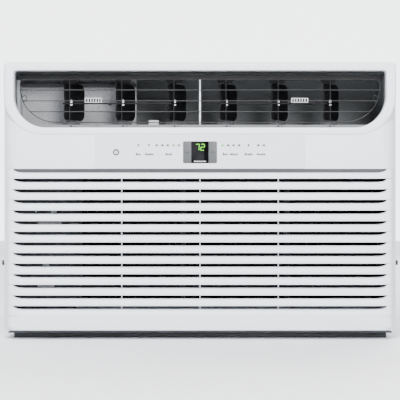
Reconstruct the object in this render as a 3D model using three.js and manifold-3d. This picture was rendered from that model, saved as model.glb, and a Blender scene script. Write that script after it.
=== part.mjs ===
// A slide-out window air conditioner: steel sleeve, chassis, moulded front panel, louvre vanes,
// pull-out air filter, keypad, and the refrigeration and fan parts inside.
// Millimetres. +X is to the right seen from the front, the front faces -Y, +Z is up, and the
// origin is on the sill under the middle of the cabinet.
import * as THREE from "three";
import { mergeVertices } from "three/addons/utils/BufferGeometryUtils.js";
import Module from "manifold-3d";

const wasm = await Module();
wasm.setup();

// ---------------------------------------------------------------- driving dimensions
const WIDTH = 673; // over the front panel, without the side screws
const HEIGHT = 473; // from the sill to the top of the front panel
const DEPTH = 673; // from the rim of the outlet to the back of the sleeve

const GAP = 0.4; // left between pieces that touch
const RUN = 1.5; // left between pieces that slide past each other
const OVERRUN = 2; // how far a cutter passes a face

// front panel
const PANEL_WALL = 3;
const PANEL_DEPTH = 75;
const PANEL_BOTTOM = 16;
const PANEL_CORNER = 30; // the upright front edges are rounded to this radius
const RIM_PROUD = 2; // the outlet's rim stands this far in front of the face
const RIM_WIDTH = 12;
const RIM_DEPTH = 25;
const OUTLET_SIDE = 19; // from the panel's side to the outlet
const OUTLET_TOP = 13.5; // from the panel's top to the outlet
const OUTLET_HEIGHT = 98;
const OUTLET_TOP_RADIUS = 5;
const OUTLET_BOTTOM_RADIUS = 55;

// keypad
const OVERLAY_WIDTH = 357;
const OVERLAY_HEIGHT = 55;
const OVERLAY_DROP = 14.5; // from the outlet down to the overlay
const OVERLAY_THICK = 1;
const OVERLAY_LEDGE = 8; // the panel backs the overlay's edge over this width
const MODULE_HEIGHT = 37; // the display and the two temperature keys
const MODULE_RISE = 0.6; // the temperature keys stand this far out of the overlay
const WINDOW_WIDTH = 28.5;
const TEMP_KEY_WIDTH = 14.2;
const KEY_DEPTH = 4;
const KEY_HEIGHT = 26;
const POWER_KEY_RADIUS = 6;
const BOARD_THICK = 1.6;
// middle and width of each flat key, from the panel's middle
const FLAT_KEYS = [
  { name: "key_eco", x: -105, width: 14 },
  { name: "key_sleep", x: -87, width: 14 },
  { name: "key_mode", x: -54, width: 30 },
  { name: "key_fan_speed", x: 53, width: 32 },
  { name: "key_filter", x: 83, width: 14 },
  { name: "key_timer", x: 105, width: 16 },
];
const POWER_KEY_X = -142.8;

// air intake
const SLOT_PITCH = 18.08;
const SLOT_HEIGHT = 4.8;
const SLOT_SIDE = 20.5; // from the panel's side to the end of a slot
const SLOT_DROP = 20; // from the overlay down to the middle of the first slot
const SLOT_FOOT = 36; // plain band under the last slot, at least

// louvre vanes, their rails and links
const VANE_PITCH = 89.2;
const VANES_PER_BANK = 3;
const VANE_FRONT = 21; // chord in front of the pivot
const VANE_REAR = 39; // chord behind the pivot
const VANE_THICK = 2.4;
const VANE_HEIGHT = 63;
const VANE_FRONT_RADIUS = 3;
const VANE_REAR_RADIUS = 13;
const VANE_REST = THREE.MathUtils.degToRad(-30);
const VANE_SETBACK = 50.8; // from the front of the rim to the pivots
const PIVOT_RADIUS = 2;
const PIVOT_FLARE = 5;
const NECK = 2.5; // between a vane's top and its bracket
const FLARE_HEIGHT = 8; // the foot under a vane
const RAIL_THICK = 6;
const RAIL_FRONT = 17; // from the pivots to the front of a rail
const RAIL_REAR = 18;
const BRACKET_TOP_WIDTH = 32;
const BRACKET_FOOT_WIDTH = 24;
const BRACKET_DROP = 5.5;
const BRACKET_DEPTH = 15;
const OUTLET_FLOOR = 6.5; // top of the lower rail above the outlet's lower edge
const LINK_ARM = 17; // from a vane's pivot to its link pin
const LINK_PIN_RADIUS = 1.5;
const LINK_WIDTH = 6;
const LINK_THICK = 2.5;
const LINK_RISE = 27; // from a vane's foot to the underside of its link
const LINK_END = 5; // link past its last pin
const NOTCH_BACK = 6.5; // how far a vane's notch runs behind its link pin
const GRIP_WIDTH = 29;
const GRIP_HEIGHT = 9;
const GRIP_DEPTH = 7;
const GRIP_CLEAR = 6; // from the upright wires to the back of a grip
const STEM_WIDTH = 12;
const GRIP_OFFSETS = [-39, 45]; // each bank's grip, from its middle link pin

// wire guard in the outlet
const WIRE_RADIUS = 0.8;
const WIRE_WELD_SHARE = 1.75; // of the wire radius, from an upright wire to the bar welded before it
const GUARD_SETBACK = 18; // from the front of the rim to the upright wires
const GUARD_SIDE = 9.5; // from the outlet's side to the guard's frame
const GUARD_TOP = 14.5; // from the outlet's top to the guard's frame
const GUARD_FOOT = 9.5; // from the outlet's lower edge to the guard's frame
const GUARD_BARS = 3;
const GUARD_CORNER = 46;
const GUARD_TOP_RADIUS = 4;
const GUARD_LEG = 24; // the legs reach this far back over the rails

// air filter
const FILTER_DROP = 77.5; // from the outlet down to the filter
const FILTER_THICK = 4;
const FILTER_BORDER = 10;
const FILTER_INSET = 17.5; // from the filter's front to the panel's back edge
const FILTER_FOOT = 32; // from the panel's bottom to the filter
const FILTER_MULLIONS = 2;
const MESH_THICK = 1;
const GUIDE_WALL = 2;
const SIDE_BAY = 121.5; // from the panel's left side to the filter: the controls' bay

// panel screws
const SCREW_HEIGHT = 130;
const SCREW_INSET = 28.5; // from a screw to the panel's back edge
const SCREW_HEAD_RADIUS = 5;
const SCREW_WASHER_RADIUS = 6.4;
const SCREW_HEAD = 6;
const SCREW_WASHER = 1.4;
const SCREW_SHANK_RADIUS = 2.4;
const SCREW_SHANK = 8;

// sleeve
const SLEEVE_WALL = 1.5;
const SLEEVE_CORNER = 6;
const SLEEVE_GAP = 1; // between the front panel's back edge and the sleeve
const SILL_LIP_SETBACK = 46.5; // from the front of the rim to the sleeve's front lip
const SILL_LIP = 3.4;
const BASE_RAIL_HEIGHT = 8;
const BASE_RAIL_WIDTH = 645;
const BASE_RAIL_DEPTH = 20;
const BASE_RAIL_WALL = 2;
const BASE_RAIL_INSET = 16; // from the back of the sleeve to the rear rail
const LOUVRE_ROWS = 10;
const LOUVRE_PITCH = 25;
const LOUVRE_SLOT = 6;
const LOUVRE_LENGTH = 84;
const LOUVRE_SPACE = 14;
const LOUVRE_INSET = 62; // from the back of the sleeve to the last slot
const LOUVRE_TOP = 70; // from the top of the sleeve to the first row

// chassis
const CHASSIS_PLAY = 4; // between the chassis and the sleeve's sides
const PAN_CLEAR = 1.2; // between the base pan and the sleeve's front lip
const PAN_WALL = 1.2;
const PAN_HEIGHT = 20;
const PLATE = 1.2; // sheet-metal thickness
const COIL_THICK = 40;
const COIL_CLEAR = 22; // from the front panel's back edge to the evaporator
const EVAPORATOR_TOP = 26; // from the evaporator to the outlet duct
const EVAPORATOR_SIDE = 15; // from the filter's left end to the evaporator
const REAR_GUARD_BAYS = 4; // between its upright wires
const REAR_GUARD_ROWS = 7; // between its level wires
const REAR_GUARD_SPACE = 8; // from the back of the sleeve to the condenser
const CONDENSER_SIDE = 26;
const CONDENSER_TOP = 12;
const DRAIN_WALL = 3;
const DRAIN_HEIGHT = 25;
const DUCT_WALL = 3;
const DUCT_DEPTH = 162;
const DUCT_DROP = 5.5; // from the outlet's lower edge to the duct's underside
const DUCT_HEAD = 10; // from the panel's top to the duct
const SCROLL_DEPTH = 132;
const SCROLL_WALL = 3;
const SCROLL_SPACE = 25; // between the blower wheel and its scroll
const SCROLL_FOOT = 12; // from the base pan's edge to the scroll
const SCROLL_INLET = 0.8; // inlet's radius as a share of the wheel's
const NECK_WIDTH = 114; // the scroll's outlet into the duct
const SHAFT_X = 40;
const SHAFT_RADIUS = 6.35;
const MOTOR_RADIUS = 62;
const MOTOR_LENGTH = 110;
const MOTOR_SHOULDER_SHARE = 0.8; // of the motor radius, where its ends are flat
const MOTOR_SEAT_SHARE = 1.2; // of the motor radius, half the bracket's width
const MOTOR_SEAT_THICK = 4.8;
const MOTOR_SPACE = 12; // from the bulkhead to the motor
const SHROUD_SPACE = 42; // from the condenser to the fan shroud's plate
const SHROUD_RING = 28;
const FAN_TIP = 8; // between the condenser fan and its shroud
const FAN_FOOT = 20; // from the base pan's floor to the shroud's ring
const FAN_BLADES = 5;
const FAN_CHORD = 40; // half a blade's width
const FAN_PITCH_DEG = 12; // a blade's lean to the fan's plane
const FAN_LEADING_SHARE = 0.7; // of the chord, the tip's leading corner
const FAN_TRAILING_SHARE = 0.4; // of the chord, the tip's trailing corner
const FAN_WIDTH = 22;
const FAN_HUB = 34;
const BLOWER_BLADES = 12;
const BLOWER_BLADE = 14;
const BLOWER_HUB_SHARE = 2.5; // of the shaft radius
const COMPRESSOR_RADIUS = 70;
const COMPRESSOR_HEAD = 26; // from the suction tube's middle down to the compressor
const COMPRESSOR_WALL = 3;
const COMPRESSOR_SIDE = 100; // from the chassis's left side to the compressor's axis
const COMPRESSOR_FEET = 22; // from the base pan's floor to the compressor
const ACCUMULATOR_RADIUS = 20;
const ACCUMULATOR_HEIGHT = 130;
const ACCUMULATOR_SPACE = 6;
const ACCUMULATOR_HEAD = 76; // from the suction tube's middle down to the accumulator
const TUBE_RADIUS = 4.8;
const CAPILLARY_RADIUS = 2.5;
const TUBE_BEND = 18;
const TUBE_SIDE = 14; // from the chassis's left side to the tubes beside the coils
const DRIER_RADIUS = 9;
const DRIER_LENGTH = 90;
const CONTROL_BOX_DEPTH = 146;
const CONTROL_BOX_FOOT = 62;
const CONTROL_BOX_TOP = 26; // from the duct's underside to the control box
const TUBE_BAY = 22; // between the control box and the evaporator
const CAPACITOR_RADIUS = 20;
const CAPACITOR_HEIGHT = 100;
const GLAND_RADIUS = 9;
const GLAND_BORE = 4;
const GLAND_HEIGHT = 62;
const GLAND_INSET = 23.5; // from the gland's axis to the panel's back edge
const GLAND_LENGTH = 12;
const SIDE_PLATE_FOOT = 36;
const SIDE_PLATE_HOLE = 24;
const DIVIDER_THICK = 2.9;

// ---------------------------------------------------------------- derived places
const FRONT_Y = -DEPTH / 2;
const BACK_Y = DEPTH / 2;
const FACE_Y = FRONT_Y + RIM_PROUD;
const PANEL_BACK_Y = FRONT_Y + PANEL_DEPTH;
const OUTLET_HALF = WIDTH / 2 - OUTLET_SIDE;
const OUTLET_TOP_Z = HEIGHT - OUTLET_TOP;
const OUTLET_BOTTOM_Z = OUTLET_TOP_Z - OUTLET_HEIGHT;
const OVERLAY_TOP_Z = OUTLET_BOTTOM_Z - OVERLAY_DROP;
const OVERLAY_MIDDLE_Z = OVERLAY_TOP_Z - OVERLAY_HEIGHT / 2;
const OVERLAY_BOTTOM_Z = OVERLAY_TOP_Z - OVERLAY_HEIGHT;
const FIRST_SLOT_Z = OVERLAY_BOTTOM_Z - SLOT_DROP;
const SLOT_COUNT = 1 + Math.floor((FIRST_SLOT_Z - PANEL_BOTTOM - SLOT_FOOT) / SLOT_PITCH);

const SLEEVE_HALF = WIDTH / 2 - PANEL_WALL - RUN;
const SLEEVE_TOP_Z = HEIGHT - PANEL_WALL - RUN;
const SLEEVE_FRONT_Y = PANEL_BACK_Y + SLEEVE_GAP;
const SILL_Z = BASE_RAIL_HEIGHT + GAP;
const WRAP_BOTTOM_Z = SILL_Z + SLEEVE_WALL + GAP;

const CHASSIS_HALF = SLEEVE_HALF - SLEEVE_WALL - CHASSIS_PLAY;
const CHASSIS_FRONT_Y = PANEL_BACK_Y + GAP;
const CHASSIS_BACK_Y = BACK_Y - REAR_GUARD_SPACE;
const PAN_Z = SILL_Z + SILL_LIP + PAN_CLEAR;
const PAN_FLOOR_Z = PAN_Z + PAN_WALL;
const PAN_TOP_Z = PAN_Z + PAN_HEIGHT;
const DUCT_BOTTOM_Z = OUTLET_BOTTOM_Z - DUCT_DROP;
const DUCT_TOP_Z = HEIGHT - DUCT_HEAD;
const DUCT_BACK_Y = CHASSIS_FRONT_Y + DUCT_DEPTH;
const EVAPORATOR_Y = PANEL_BACK_Y + COIL_CLEAR;
const FILTER_LEFT_X = -WIDTH / 2 + SIDE_BAY;
const EVAPORATOR_LEFT_X = FILTER_LEFT_X + EVAPORATOR_SIDE;
const SCROLL_Y = EVAPORATOR_Y + COIL_THICK + DRAIN_WALL + OVERRUN;
const BULKHEAD_Y = SCROLL_Y + SCROLL_DEPTH + GAP;
const SHAFT_Z = (PAN_TOP_Z + SCROLL_FOOT + DUCT_BOTTOM_Z) / 2;
const SCROLL_RADIUS = (DUCT_BOTTOM_Z - PAN_TOP_Z - SCROLL_FOOT) / 2 - GAP;
const BLOWER_RADIUS = SCROLL_RADIUS - SCROLL_WALL - SCROLL_SPACE;
const MOTOR_Y = BULKHEAD_Y + PLATE + MOTOR_SPACE;
const CONDENSER_Y = CHASSIS_BACK_Y - COIL_THICK;
const SHROUD_Y = CONDENSER_Y - SHROUD_SPACE;
const SHROUD_HOLE = SHAFT_Z - PAN_FLOOR_Z - FAN_FOOT;
const FAN_RADIUS = SHROUD_HOLE - FAN_TIP;
const COMPRESSOR_X = -CHASSIS_HALF + COMPRESSOR_SIDE;
const COMPRESSOR_Y = (BULKHEAD_Y + SHROUD_Y) / 2;
const TUBE_X = -CHASSIS_HALF + TUBE_SIDE;
const CONDENSER_LEFT_X = -CHASSIS_HALF + CONDENSER_SIDE;

const PIVOT_Y = FRONT_Y + VANE_SETBACK;
const RAIL_TOP_Z = OUTLET_BOTTOM_Z + OUTLET_FLOOR; // top of the lower rail
const VANE_BOTTOM_Z = RAIL_TOP_Z + GAP + FLARE_HEIGHT;
const VANE_TOP_Z = VANE_BOTTOM_Z + VANE_HEIGHT;
const BRACKET_Z = VANE_TOP_Z + NECK;
const UPPER_RAIL_Z = BRACKET_Z + BRACKET_DROP;
const RAIL_HALF = OUTLET_HALF - OVERRUN;
const LINK_Z = VANE_BOTTOM_Z + LINK_RISE;
const GUARD_Y = FRONT_Y + GUARD_SETBACK;

// ---------------------------------------------------------------- geometry helpers
const AXES = {
  x: new THREE.Matrix4().makeBasis(
    new THREE.Vector3(0, 1, 0), new THREE.Vector3(0, 0, 1), new THREE.Vector3(1, 0, 0),
  ),
  y: new THREE.Matrix4().makeBasis(
    new THREE.Vector3(1, 0, 0), new THREE.Vector3(0, 0, 1), new THREE.Vector3(0, -1, 0),
  ),
  z: new THREE.Matrix4(),
};

// A box between two corners.
function block(x0, x1, y0, y1, z0, z1) {
  const box = new THREE.BoxGeometry(x1 - x0, y1 - y0, z1 - z0);
  return box.translate((x0 + x1) / 2, (y0 + y1) / 2, (z0 + z1) / 2);
}

// An outline drawn across an axis and drawn out along it. The outline's own axes are
// (Y, Z) for x, (X, Z) for y and (X, Y) for z.
function prism(outline, axis, start, length, curveSegments = 8) {
  const body = new THREE.ExtrudeGeometry(outline, { depth: length, bevelEnabled: false, curveSegments });
  body.applyMatrix4(AXES[axis]);
  const shift = axis === "y" ? start + length : start;
  return body.translate(axis === "x" ? shift : 0, axis === "y" ? shift : 0, axis === "z" ? shift : 0);
}

// A round bar along an axis, with its middle at (u, v) across that axis.
function rod(axis, u, v, start, length, radius, sides = 16) {
  const circle = new THREE.Shape();
  circle.absarc(u, v, radius, 0, Math.PI * 2);
  return prism(circle, axis, start, length, sides / 2);
}

// A square wire along an axis, as wide as a round one of the same radius.
function wire(axis, u, v, start, length) {
  return prism(
    roundedRect(u - WIRE_RADIUS, u + WIRE_RADIUS, v - WIRE_RADIUS, v + WIRE_RADIUS, [0, 0, 0, 0]), axis,
    start, length,
  );
}

// A profile of [radius, distance] points turned about a line parallel to an axis.
function turned(profile, axis, u, v, sides = 32) {
  const points = profile.map(([radius, along]) => new THREE.Vector2(radius, along));
  const body = new THREE.LatheGeometry(points, sides);
  body.rotateX(Math.PI / 2);
  if (axis === "y") {
    return body.rotateX(-Math.PI / 2).translate(u, 0, v);
  }
  if (axis === "x") {
    return body.rotateY(Math.PI / 2).translate(0, u, v);
  }
  return body.translate(u, v, 0);
}

// A rectangle with its four corner radii: lower left, lower right, upper right, upper left.
function roundedRect(x0, x1, y0, y1, radii) {
  const [a, b, c, d] = radii;
  const shape = new THREE.Shape();
  shape.moveTo(x0 + a, y0);
  shape.lineTo(x1 - b, y0);
  if (b > 0) shape.absarc(x1 - b, y0 + b, b, -Math.PI / 2, 0);
  shape.lineTo(x1, y1 - c);
  if (c > 0) shape.absarc(x1 - c, y1 - c, c, 0, Math.PI / 2);
  shape.lineTo(x0 + d, y1);
  if (d > 0) shape.absarc(x0 + d, y1 - d, d, Math.PI / 2, Math.PI);
  shape.lineTo(x0, y0 + a);
  if (a > 0) shape.absarc(x0 + a, y0 + a, a, Math.PI, Math.PI * 1.5);
  return shape;
}

// A closed outline through straight points.
function polygon(points) {
  return new THREE.Shape(points.map(([x, y]) => new THREE.Vector2(x, y)));
}

// The outlet's outline, grown by a margin.
function outletOutline(margin) {
  const top = OUTLET_TOP_RADIUS + margin;
  const bottom = OUTLET_BOTTOM_RADIUS + margin;
  const half = OUTLET_HALF + margin;
  return roundedRect(
    -half, half, OUTLET_BOTTOM_Z - margin, OUTLET_TOP_Z + margin, [bottom, bottom, top, top],
  );
}

// A path through points whose corners are rounded to a bend radius.
function bentPath(points, bend) {
  const path = new THREE.CurvePath();
  const corners = points.map((point) => new THREE.Vector3(...point));
  let from = corners[0];
  for (let i = 1; i < corners.length - 1; i += 1) {
    const before = corners[i - 1].clone().sub(corners[i]);
    const after = corners[i + 1].clone().sub(corners[i]);
    const reach = Math.min(bend, before.length() / 2, after.length() / 2);
    const enter = corners[i].clone().addScaledVector(before.normalize(), reach);
    const leave = corners[i].clone().addScaledVector(after.normalize(), reach);
    path.add(new THREE.LineCurve3(from, enter));
    path.add(new THREE.QuadraticBezierCurve3(enter, corners[i], leave));
    from = leave;
  }
  path.add(new THREE.LineCurve3(from, corners[corners.length - 1]));
  return path;
}

// A round tube or wire along bent points.
function tube(points, radius, bend, steps, sides = 8) {
  const section = new THREE.Shape();
  section.absarc(0, 0, radius, 0, Math.PI * 2);
  const extrudePath = bentPath(points, bend);
  return new THREE.ExtrudeGeometry(
    section, { steps, bevelEnabled: false, curveSegments: sides / 2, extrudePath },
  );
}

// A three.js geometry as a solid that can be joined and cut.
function solid(geometry) {
  const bare = geometry.clone();
  bare.deleteAttribute("normal");
  bare.deleteAttribute("uv");
  const merged = mergeVertices(bare, 1e-4);
  const vertProperties = new Float32Array(merged.attributes.position.array);
  const triVerts = new Uint32Array(merged.index.array);
  return new wasm.Manifold(new wasm.Mesh({ numProp: 3, vertProperties, triVerts }));
}

// A joined or cut solid as a three.js geometry again.
function surface(body) {
  const mesh = body.getMesh();
  const geometry = new THREE.BufferGeometry();
  geometry.setAttribute("position", new THREE.BufferAttribute(new Float32Array(mesh.vertProperties), 3));
  geometry.setIndex(new THREE.BufferAttribute(new Uint32Array(mesh.triVerts), 1));
  geometry.computeVertexNormals();
  return geometry;
}

// Pieces joined together, then cut by cutters.
function shaped(pieces, cutters = []) {
  let body = solid(pieces[0]);
  for (const piece of pieces.slice(1)) {
    body = body.add(solid(piece));
  }
  for (const cutter of cutters) {
    body = body.subtract(solid(cutter));
  }
  return surface(body);
}

// ---------------------------------------------------------------- finishes
function finish(color, roughness, metalness = 0) {
  return new THREE.MeshStandardMaterial({ color, roughness, metalness });
}

const FINISHES = {
  cabinet: finish(0xd9dade, 0.5, 0.3),
  panel: finish(0xe7e8eb, 0.45),
  overlay: finish(0xe2e4e8, 0.35),
  glass: finish(0x101214, 0.15),
  key: finish(0x808388, 0.4),
  board: finish(0x2c5a3c, 0.6),
  dark: finish(0x24262a, 0.6),
  vane: finish(0x17181b, 0.4),
  grip: finish(0xa9abae, 0.5),
  wire: finish(0x303236, 0.4, 0.5),
  rail: finish(0x2a2b2f, 0.5, 0.4),
  steel: finish(0x9a9da2, 0.35, 0.9),
  aluminium: finish(0xb9bcc0, 0.4, 0.9),
  copper: finish(0xb0663c, 0.35, 0.9),
  foam: finish(0xc9ccd0, 0.9),
  rubber: finish(0x1a1a1b, 0.9),
};

// A named piece in its own finish, at its place.
function piece(name, geometry, look, position = [0, 0, 0], turn = 0) {
  const mesh = new THREE.Mesh(geometry, FINISHES[look].clone());
  mesh.name = name;
  mesh.position.set(...position);
  mesh.rotation.z = turn;
  return mesh;
}

// ---------------------------------------------------------------- sleeve
function sleeveWrap() {
  const wrap = (half, top, radius) => roundedRect(
    -half, half, WRAP_BOTTOM_Z - OVERRUN, top, [0, 0, radius, radius],
  );
  const length = BACK_Y - SLEEVE_FRONT_Y;
  const outer = prism(wrap(SLEEVE_HALF, SLEEVE_TOP_Z, SLEEVE_CORNER), "y", SLEEVE_FRONT_Y, length);
  const inner = wrap(SLEEVE_HALF - SLEEVE_WALL, SLEEVE_TOP_Z - SLEEVE_WALL, SLEEVE_CORNER - SLEEVE_WALL);
  const cutters = [
    prism(inner, "y", SLEEVE_FRONT_Y - OVERRUN, length + 2 * OVERRUN),
    block(-WIDTH, WIDTH, FRONT_Y, BACK_Y + OVERRUN, 0, WRAP_BOTTOM_Z),
  ];
  for (let row = 0; row < LOUVRE_ROWS; row += 1) {
    const z = SLEEVE_TOP_Z - LOUVRE_TOP - row * LOUVRE_PITCH;
    for (const column of [0, 1]) {
      const y1 = BACK_Y - LOUVRE_INSET - column * (LOUVRE_LENGTH + LOUVRE_SPACE);
      cutters.push(block(-WIDTH, WIDTH, y1 - LOUVRE_LENGTH, y1, z - LOUVRE_SLOT, z));
    }
  }
  return shaped([outer], cutters);
}

function sleeveBase() {
  const front = FRONT_Y + SILL_LIP_SETBACK;
  const outline = polygon([
    [front, SILL_Z],
    [BACK_Y, SILL_Z],
    [BACK_Y, SILL_Z + SLEEVE_WALL],
    [front + SILL_LIP, SILL_Z + SLEEVE_WALL],
    [front + SILL_LIP, SILL_Z + SILL_LIP],
    [front, SILL_Z + SILL_LIP],
  ]);
  return prism(outline, "x", -SLEEVE_HALF, 2 * SLEEVE_HALF);
}

// A channel, open upwards, with its closed side on the sill.
function baseRail(front) {
  const back = front + BASE_RAIL_DEPTH;
  const outline = polygon([
    [front, 0],
    [back, 0],
    [back, BASE_RAIL_HEIGHT],
    [back - BASE_RAIL_WALL, BASE_RAIL_HEIGHT],
    [back - BASE_RAIL_WALL, BASE_RAIL_WALL],
    [front + BASE_RAIL_WALL, BASE_RAIL_WALL],
    [front + BASE_RAIL_WALL, BASE_RAIL_HEIGHT],
    [front, BASE_RAIL_HEIGHT],
  ]);
  return prism(outline, "x", -BASE_RAIL_WIDTH / 2, BASE_RAIL_WIDTH);
}

function sleeve() {
  const group = new THREE.Group();
  const rearRail = BACK_Y - BASE_RAIL_INSET - BASE_RAIL_DEPTH;
  group.add(
    piece("sleeve_wrap", sleeveWrap(), "cabinet"),
    piece("sleeve_base", sleeveBase(), "cabinet"),
    piece("base_rail_front", baseRail(FRONT_Y + SILL_LIP_SETBACK + RUN), "rail"),
    piece("base_rail_rear", baseRail(rearRail), "rail"),
  );
  return group;
}

// ---------------------------------------------------------------- chassis: sheet metal and ducts
function tray(x0, x1, y0, y1, z0, z1, wall) {
  return shaped(
    [block(x0, x1, y0, y1, z0, z1)],
    [block(x0 + wall, x1 - wall, y0 + wall, y1 - wall, z0 + wall, z1 + OVERRUN)],
  );
}

function bulkhead() {
  const plate = block(
    -CHASSIS_HALF, CHASSIS_HALF, BULKHEAD_Y, BULKHEAD_Y + PLATE, PAN_TOP_Z + GAP, DUCT_TOP_Z,
  );
  const drill = (x, z, radius) => rod("y", x, z, BULKHEAD_Y - OVERRUN, PLATE + 2 * OVERRUN, radius, 16);
  return shaped([plate], [
    drill(SHAFT_X, SHAFT_Z, SHAFT_RADIUS + OVERRUN),
    drill(SUCTION_X, SUCTION_Z, TUBE_RADIUS + OVERRUN),
    drill(TUBE_X, CAPILLARY_Z, CAPILLARY_RADIUS + OVERRUN),
  ]);
}

function dischargeHousing() {
  const half = CHASSIS_HALF - OVERRUN;
  const mouth = NECK_WIDTH / 2;
  return shaped(
    [block(-half, half, CHASSIS_FRONT_Y, DUCT_BACK_Y, DUCT_BOTTOM_Z, DUCT_TOP_Z)],
    [
      block(
        -half + DUCT_WALL, half - DUCT_WALL, CHASSIS_FRONT_Y - OVERRUN, DUCT_BACK_Y - DUCT_WALL,
        DUCT_BOTTOM_Z + DUCT_WALL, DUCT_TOP_Z - DUCT_WALL,
      ),
      block(
        SHAFT_X - mouth, SHAFT_X + mouth, SCROLL_Y + SCROLL_WALL, DUCT_BACK_Y - 2 * DUCT_WALL,
        DUCT_BOTTOM_Z - OVERRUN, DUCT_BOTTOM_Z + DUCT_WALL + OVERRUN,
      ),
    ],
  );
}

// The blower's drum: an inlet wall, a round wall and a neck that opens up into the duct.
function scrollHousing() {
  const half = NECK_WIDTH / 2;
  const top = DUCT_BOTTOM_Z - GAP;
  const wall = SCROLL_WALL;
  const drum = rod("y", SHAFT_X, SHAFT_Z, SCROLL_Y, SCROLL_DEPTH, SCROLL_RADIUS, 48);
  const neck = block(
    SHAFT_X - half - wall, SHAFT_X + half + wall, SCROLL_Y, SCROLL_Y + SCROLL_DEPTH, SHAFT_Z, top,
  );
  const inside = SCROLL_Y + wall;
  return shaped([drum, neck], [
    rod("y", SHAFT_X, SHAFT_Z, inside, SCROLL_DEPTH, SCROLL_RADIUS - wall, 48),
    block(SHAFT_X - half, SHAFT_X + half, inside, SCROLL_Y + SCROLL_DEPTH + OVERRUN, SHAFT_Z, top + OVERRUN),
    rod("y", SHAFT_X, SHAFT_Z, SCROLL_Y - OVERRUN, wall + 2 * OVERRUN, SCROLL_INLET * BLOWER_RADIUS, 36),
  ]);
}

function fanShroud() {
  const right = CHASSIS_HALF - OVERRUN;
  const plate = block(CONDENSER_LEFT_X, right, SHROUD_Y, SHROUD_Y + PLATE, PAN_TOP_Z + GAP, DUCT_TOP_Z);
  const ring = rod("y", SHAFT_X, SHAFT_Z, SHROUD_Y, SHROUD_RING, SHROUD_HOLE + PLATE, 48);
  const bore = rod("y", SHAFT_X, SHAFT_Z, SHROUD_Y - OVERRUN, SHROUD_RING + 2 * OVERRUN, SHROUD_HOLE, 48);
  return shaped([plate, ring], [bore]);
}

function condenserCoil() {
  const right = CHASSIS_HALF - OVERRUN;
  const top = DUCT_TOP_Z - CONDENSER_TOP;
  return block(CONDENSER_LEFT_X, right, CONDENSER_Y, CONDENSER_Y + COIL_THICK - GAP, PAN_TOP_Z + GAP, top);
}

function evaporatorCoil() {
  const right = CHASSIS_HALF - OVERRUN;
  const top = DUCT_BOTTOM_Z - EVAPORATOR_TOP;
  return block(EVAPORATOR_LEFT_X, right, EVAPORATOR_Y, EVAPORATOR_Y + COIL_THICK, DRAIN_TOP_Z + GAP, top);
}

const DRAIN_BOTTOM_Z = PAN_FLOOR_Z + GAP;
const DRAIN_TOP_Z = DRAIN_BOTTOM_Z + DRAIN_HEIGHT;
const EVAPORATOR_MIDDLE_Y = EVAPORATOR_Y + COIL_THICK / 2;
const CONTROL_BOX_RIGHT_X = EVAPORATOR_LEFT_X - TUBE_BAY;
const CONTROL_BOX_TOP_Z = DUCT_BOTTOM_Z - CONTROL_BOX_TOP;
const SUCTION_X = EVAPORATOR_LEFT_X - TUBE_BAY / 2;
const SUCTION_Z = DUCT_BOTTOM_Z - EVAPORATOR_TOP - TUBE_BEND;
const CAPILLARY_Z = PAN_TOP_Z + TUBE_SIDE;

function controlBox() {
  const y0 = CHASSIS_FRONT_Y + PLATE + OVERRUN;
  const left = -CHASSIS_HALF + OVERRUN;
  return tray(
    left, CONTROL_BOX_RIGHT_X, y0, y0 + CONTROL_BOX_DEPTH, CONTROL_BOX_FOOT, CONTROL_BOX_TOP_Z, PLATE,
  );
}

function capacitor() {
  const x = (-CHASSIS_HALF + CONTROL_BOX_RIGHT_X) / 2;
  const y = CHASSIS_FRONT_Y + CONTROL_BOX_DEPTH / 2;
  return rod("z", x, y, CONTROL_BOX_FOOT + PLATE + GAP, CAPACITOR_HEIGHT, CAPACITOR_RADIUS);
}

// The plate in front of the controls' bay, with square windows in two rows.
function sidePlate() {
  const right = EVAPORATOR_LEFT_X - OVERRUN;
  const plate = block(
    -CHASSIS_HALF, right, CHASSIS_FRONT_Y, CHASSIS_FRONT_Y + PLATE, SIDE_PLATE_FOOT, DUCT_BOTTOM_Z - GAP,
  );
  const middle = (-CHASSIS_HALF + right) / 2 + SIDE_PLATE_HOLE;
  const step = 2 * SIDE_PLATE_HOLE;
  const windows = [];
  for (let z = SIDE_PLATE_FOOT + step; z < DUCT_BOTTOM_Z - 2 * step; z += 2 * step) {
    windows.push(block(
      middle - SIDE_PLATE_HOLE, middle, CHASSIS_FRONT_Y - OVERRUN, CHASSIS_FRONT_Y + PLATE + OVERRUN,
      z, z + SIDE_PLATE_HOLE,
    ));
  }
  // an ear on the plate's left edge reaches forward to the cord's gland
  const earX = -WIDTH / 2 + GLAND_LENGTH + GAP;
  const ear = block(
    earX, earX + PLATE, GLAND_Y - GLAND_RADIUS, CHASSIS_FRONT_Y + PLATE, GLAND_HEIGHT - GLAND_RADIUS,
    GLAND_HEIGHT + GLAND_RADIUS,
  );
  return shaped([plate, ear], windows);
}

function rearGuard() {
  const half = CHASSIS_HALF - TUBE_SIDE;
  const y = CHASSIS_BACK_Y + WIRE_RADIUS + RUN;
  const z0 = PAN_TOP_Z + TUBE_SIDE;
  const z1 = DUCT_TOP_Z - TUBE_SIDE;
  const wires = [];
  for (let i = 0; i <= REAR_GUARD_BAYS; i += 1) {
    const x = -half + (2 * half * i) / REAR_GUARD_BAYS;
    wires.push(wire("z", x, y, z0 - RUN, z1 - z0 + 2 * RUN));
  }
  for (let i = 0; i <= REAR_GUARD_ROWS; i += 1) {
    const z = z0 + ((z1 - z0) * i) / REAR_GUARD_ROWS;
    wires.push(wire("x", y + WIRE_RADIUS, z, -half - RUN, 2 * half + 2 * RUN));
  }
  return shaped(wires);
}

// ---------------------------------------------------------------- chassis: refrigeration
const ARC_STEPS = 3;
const COMPRESSOR_Z = PAN_FLOOR_Z + COMPRESSOR_FEET;
const COMPRESSOR_TOP_Z = SUCTION_Z - COMPRESSOR_HEAD;

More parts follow.
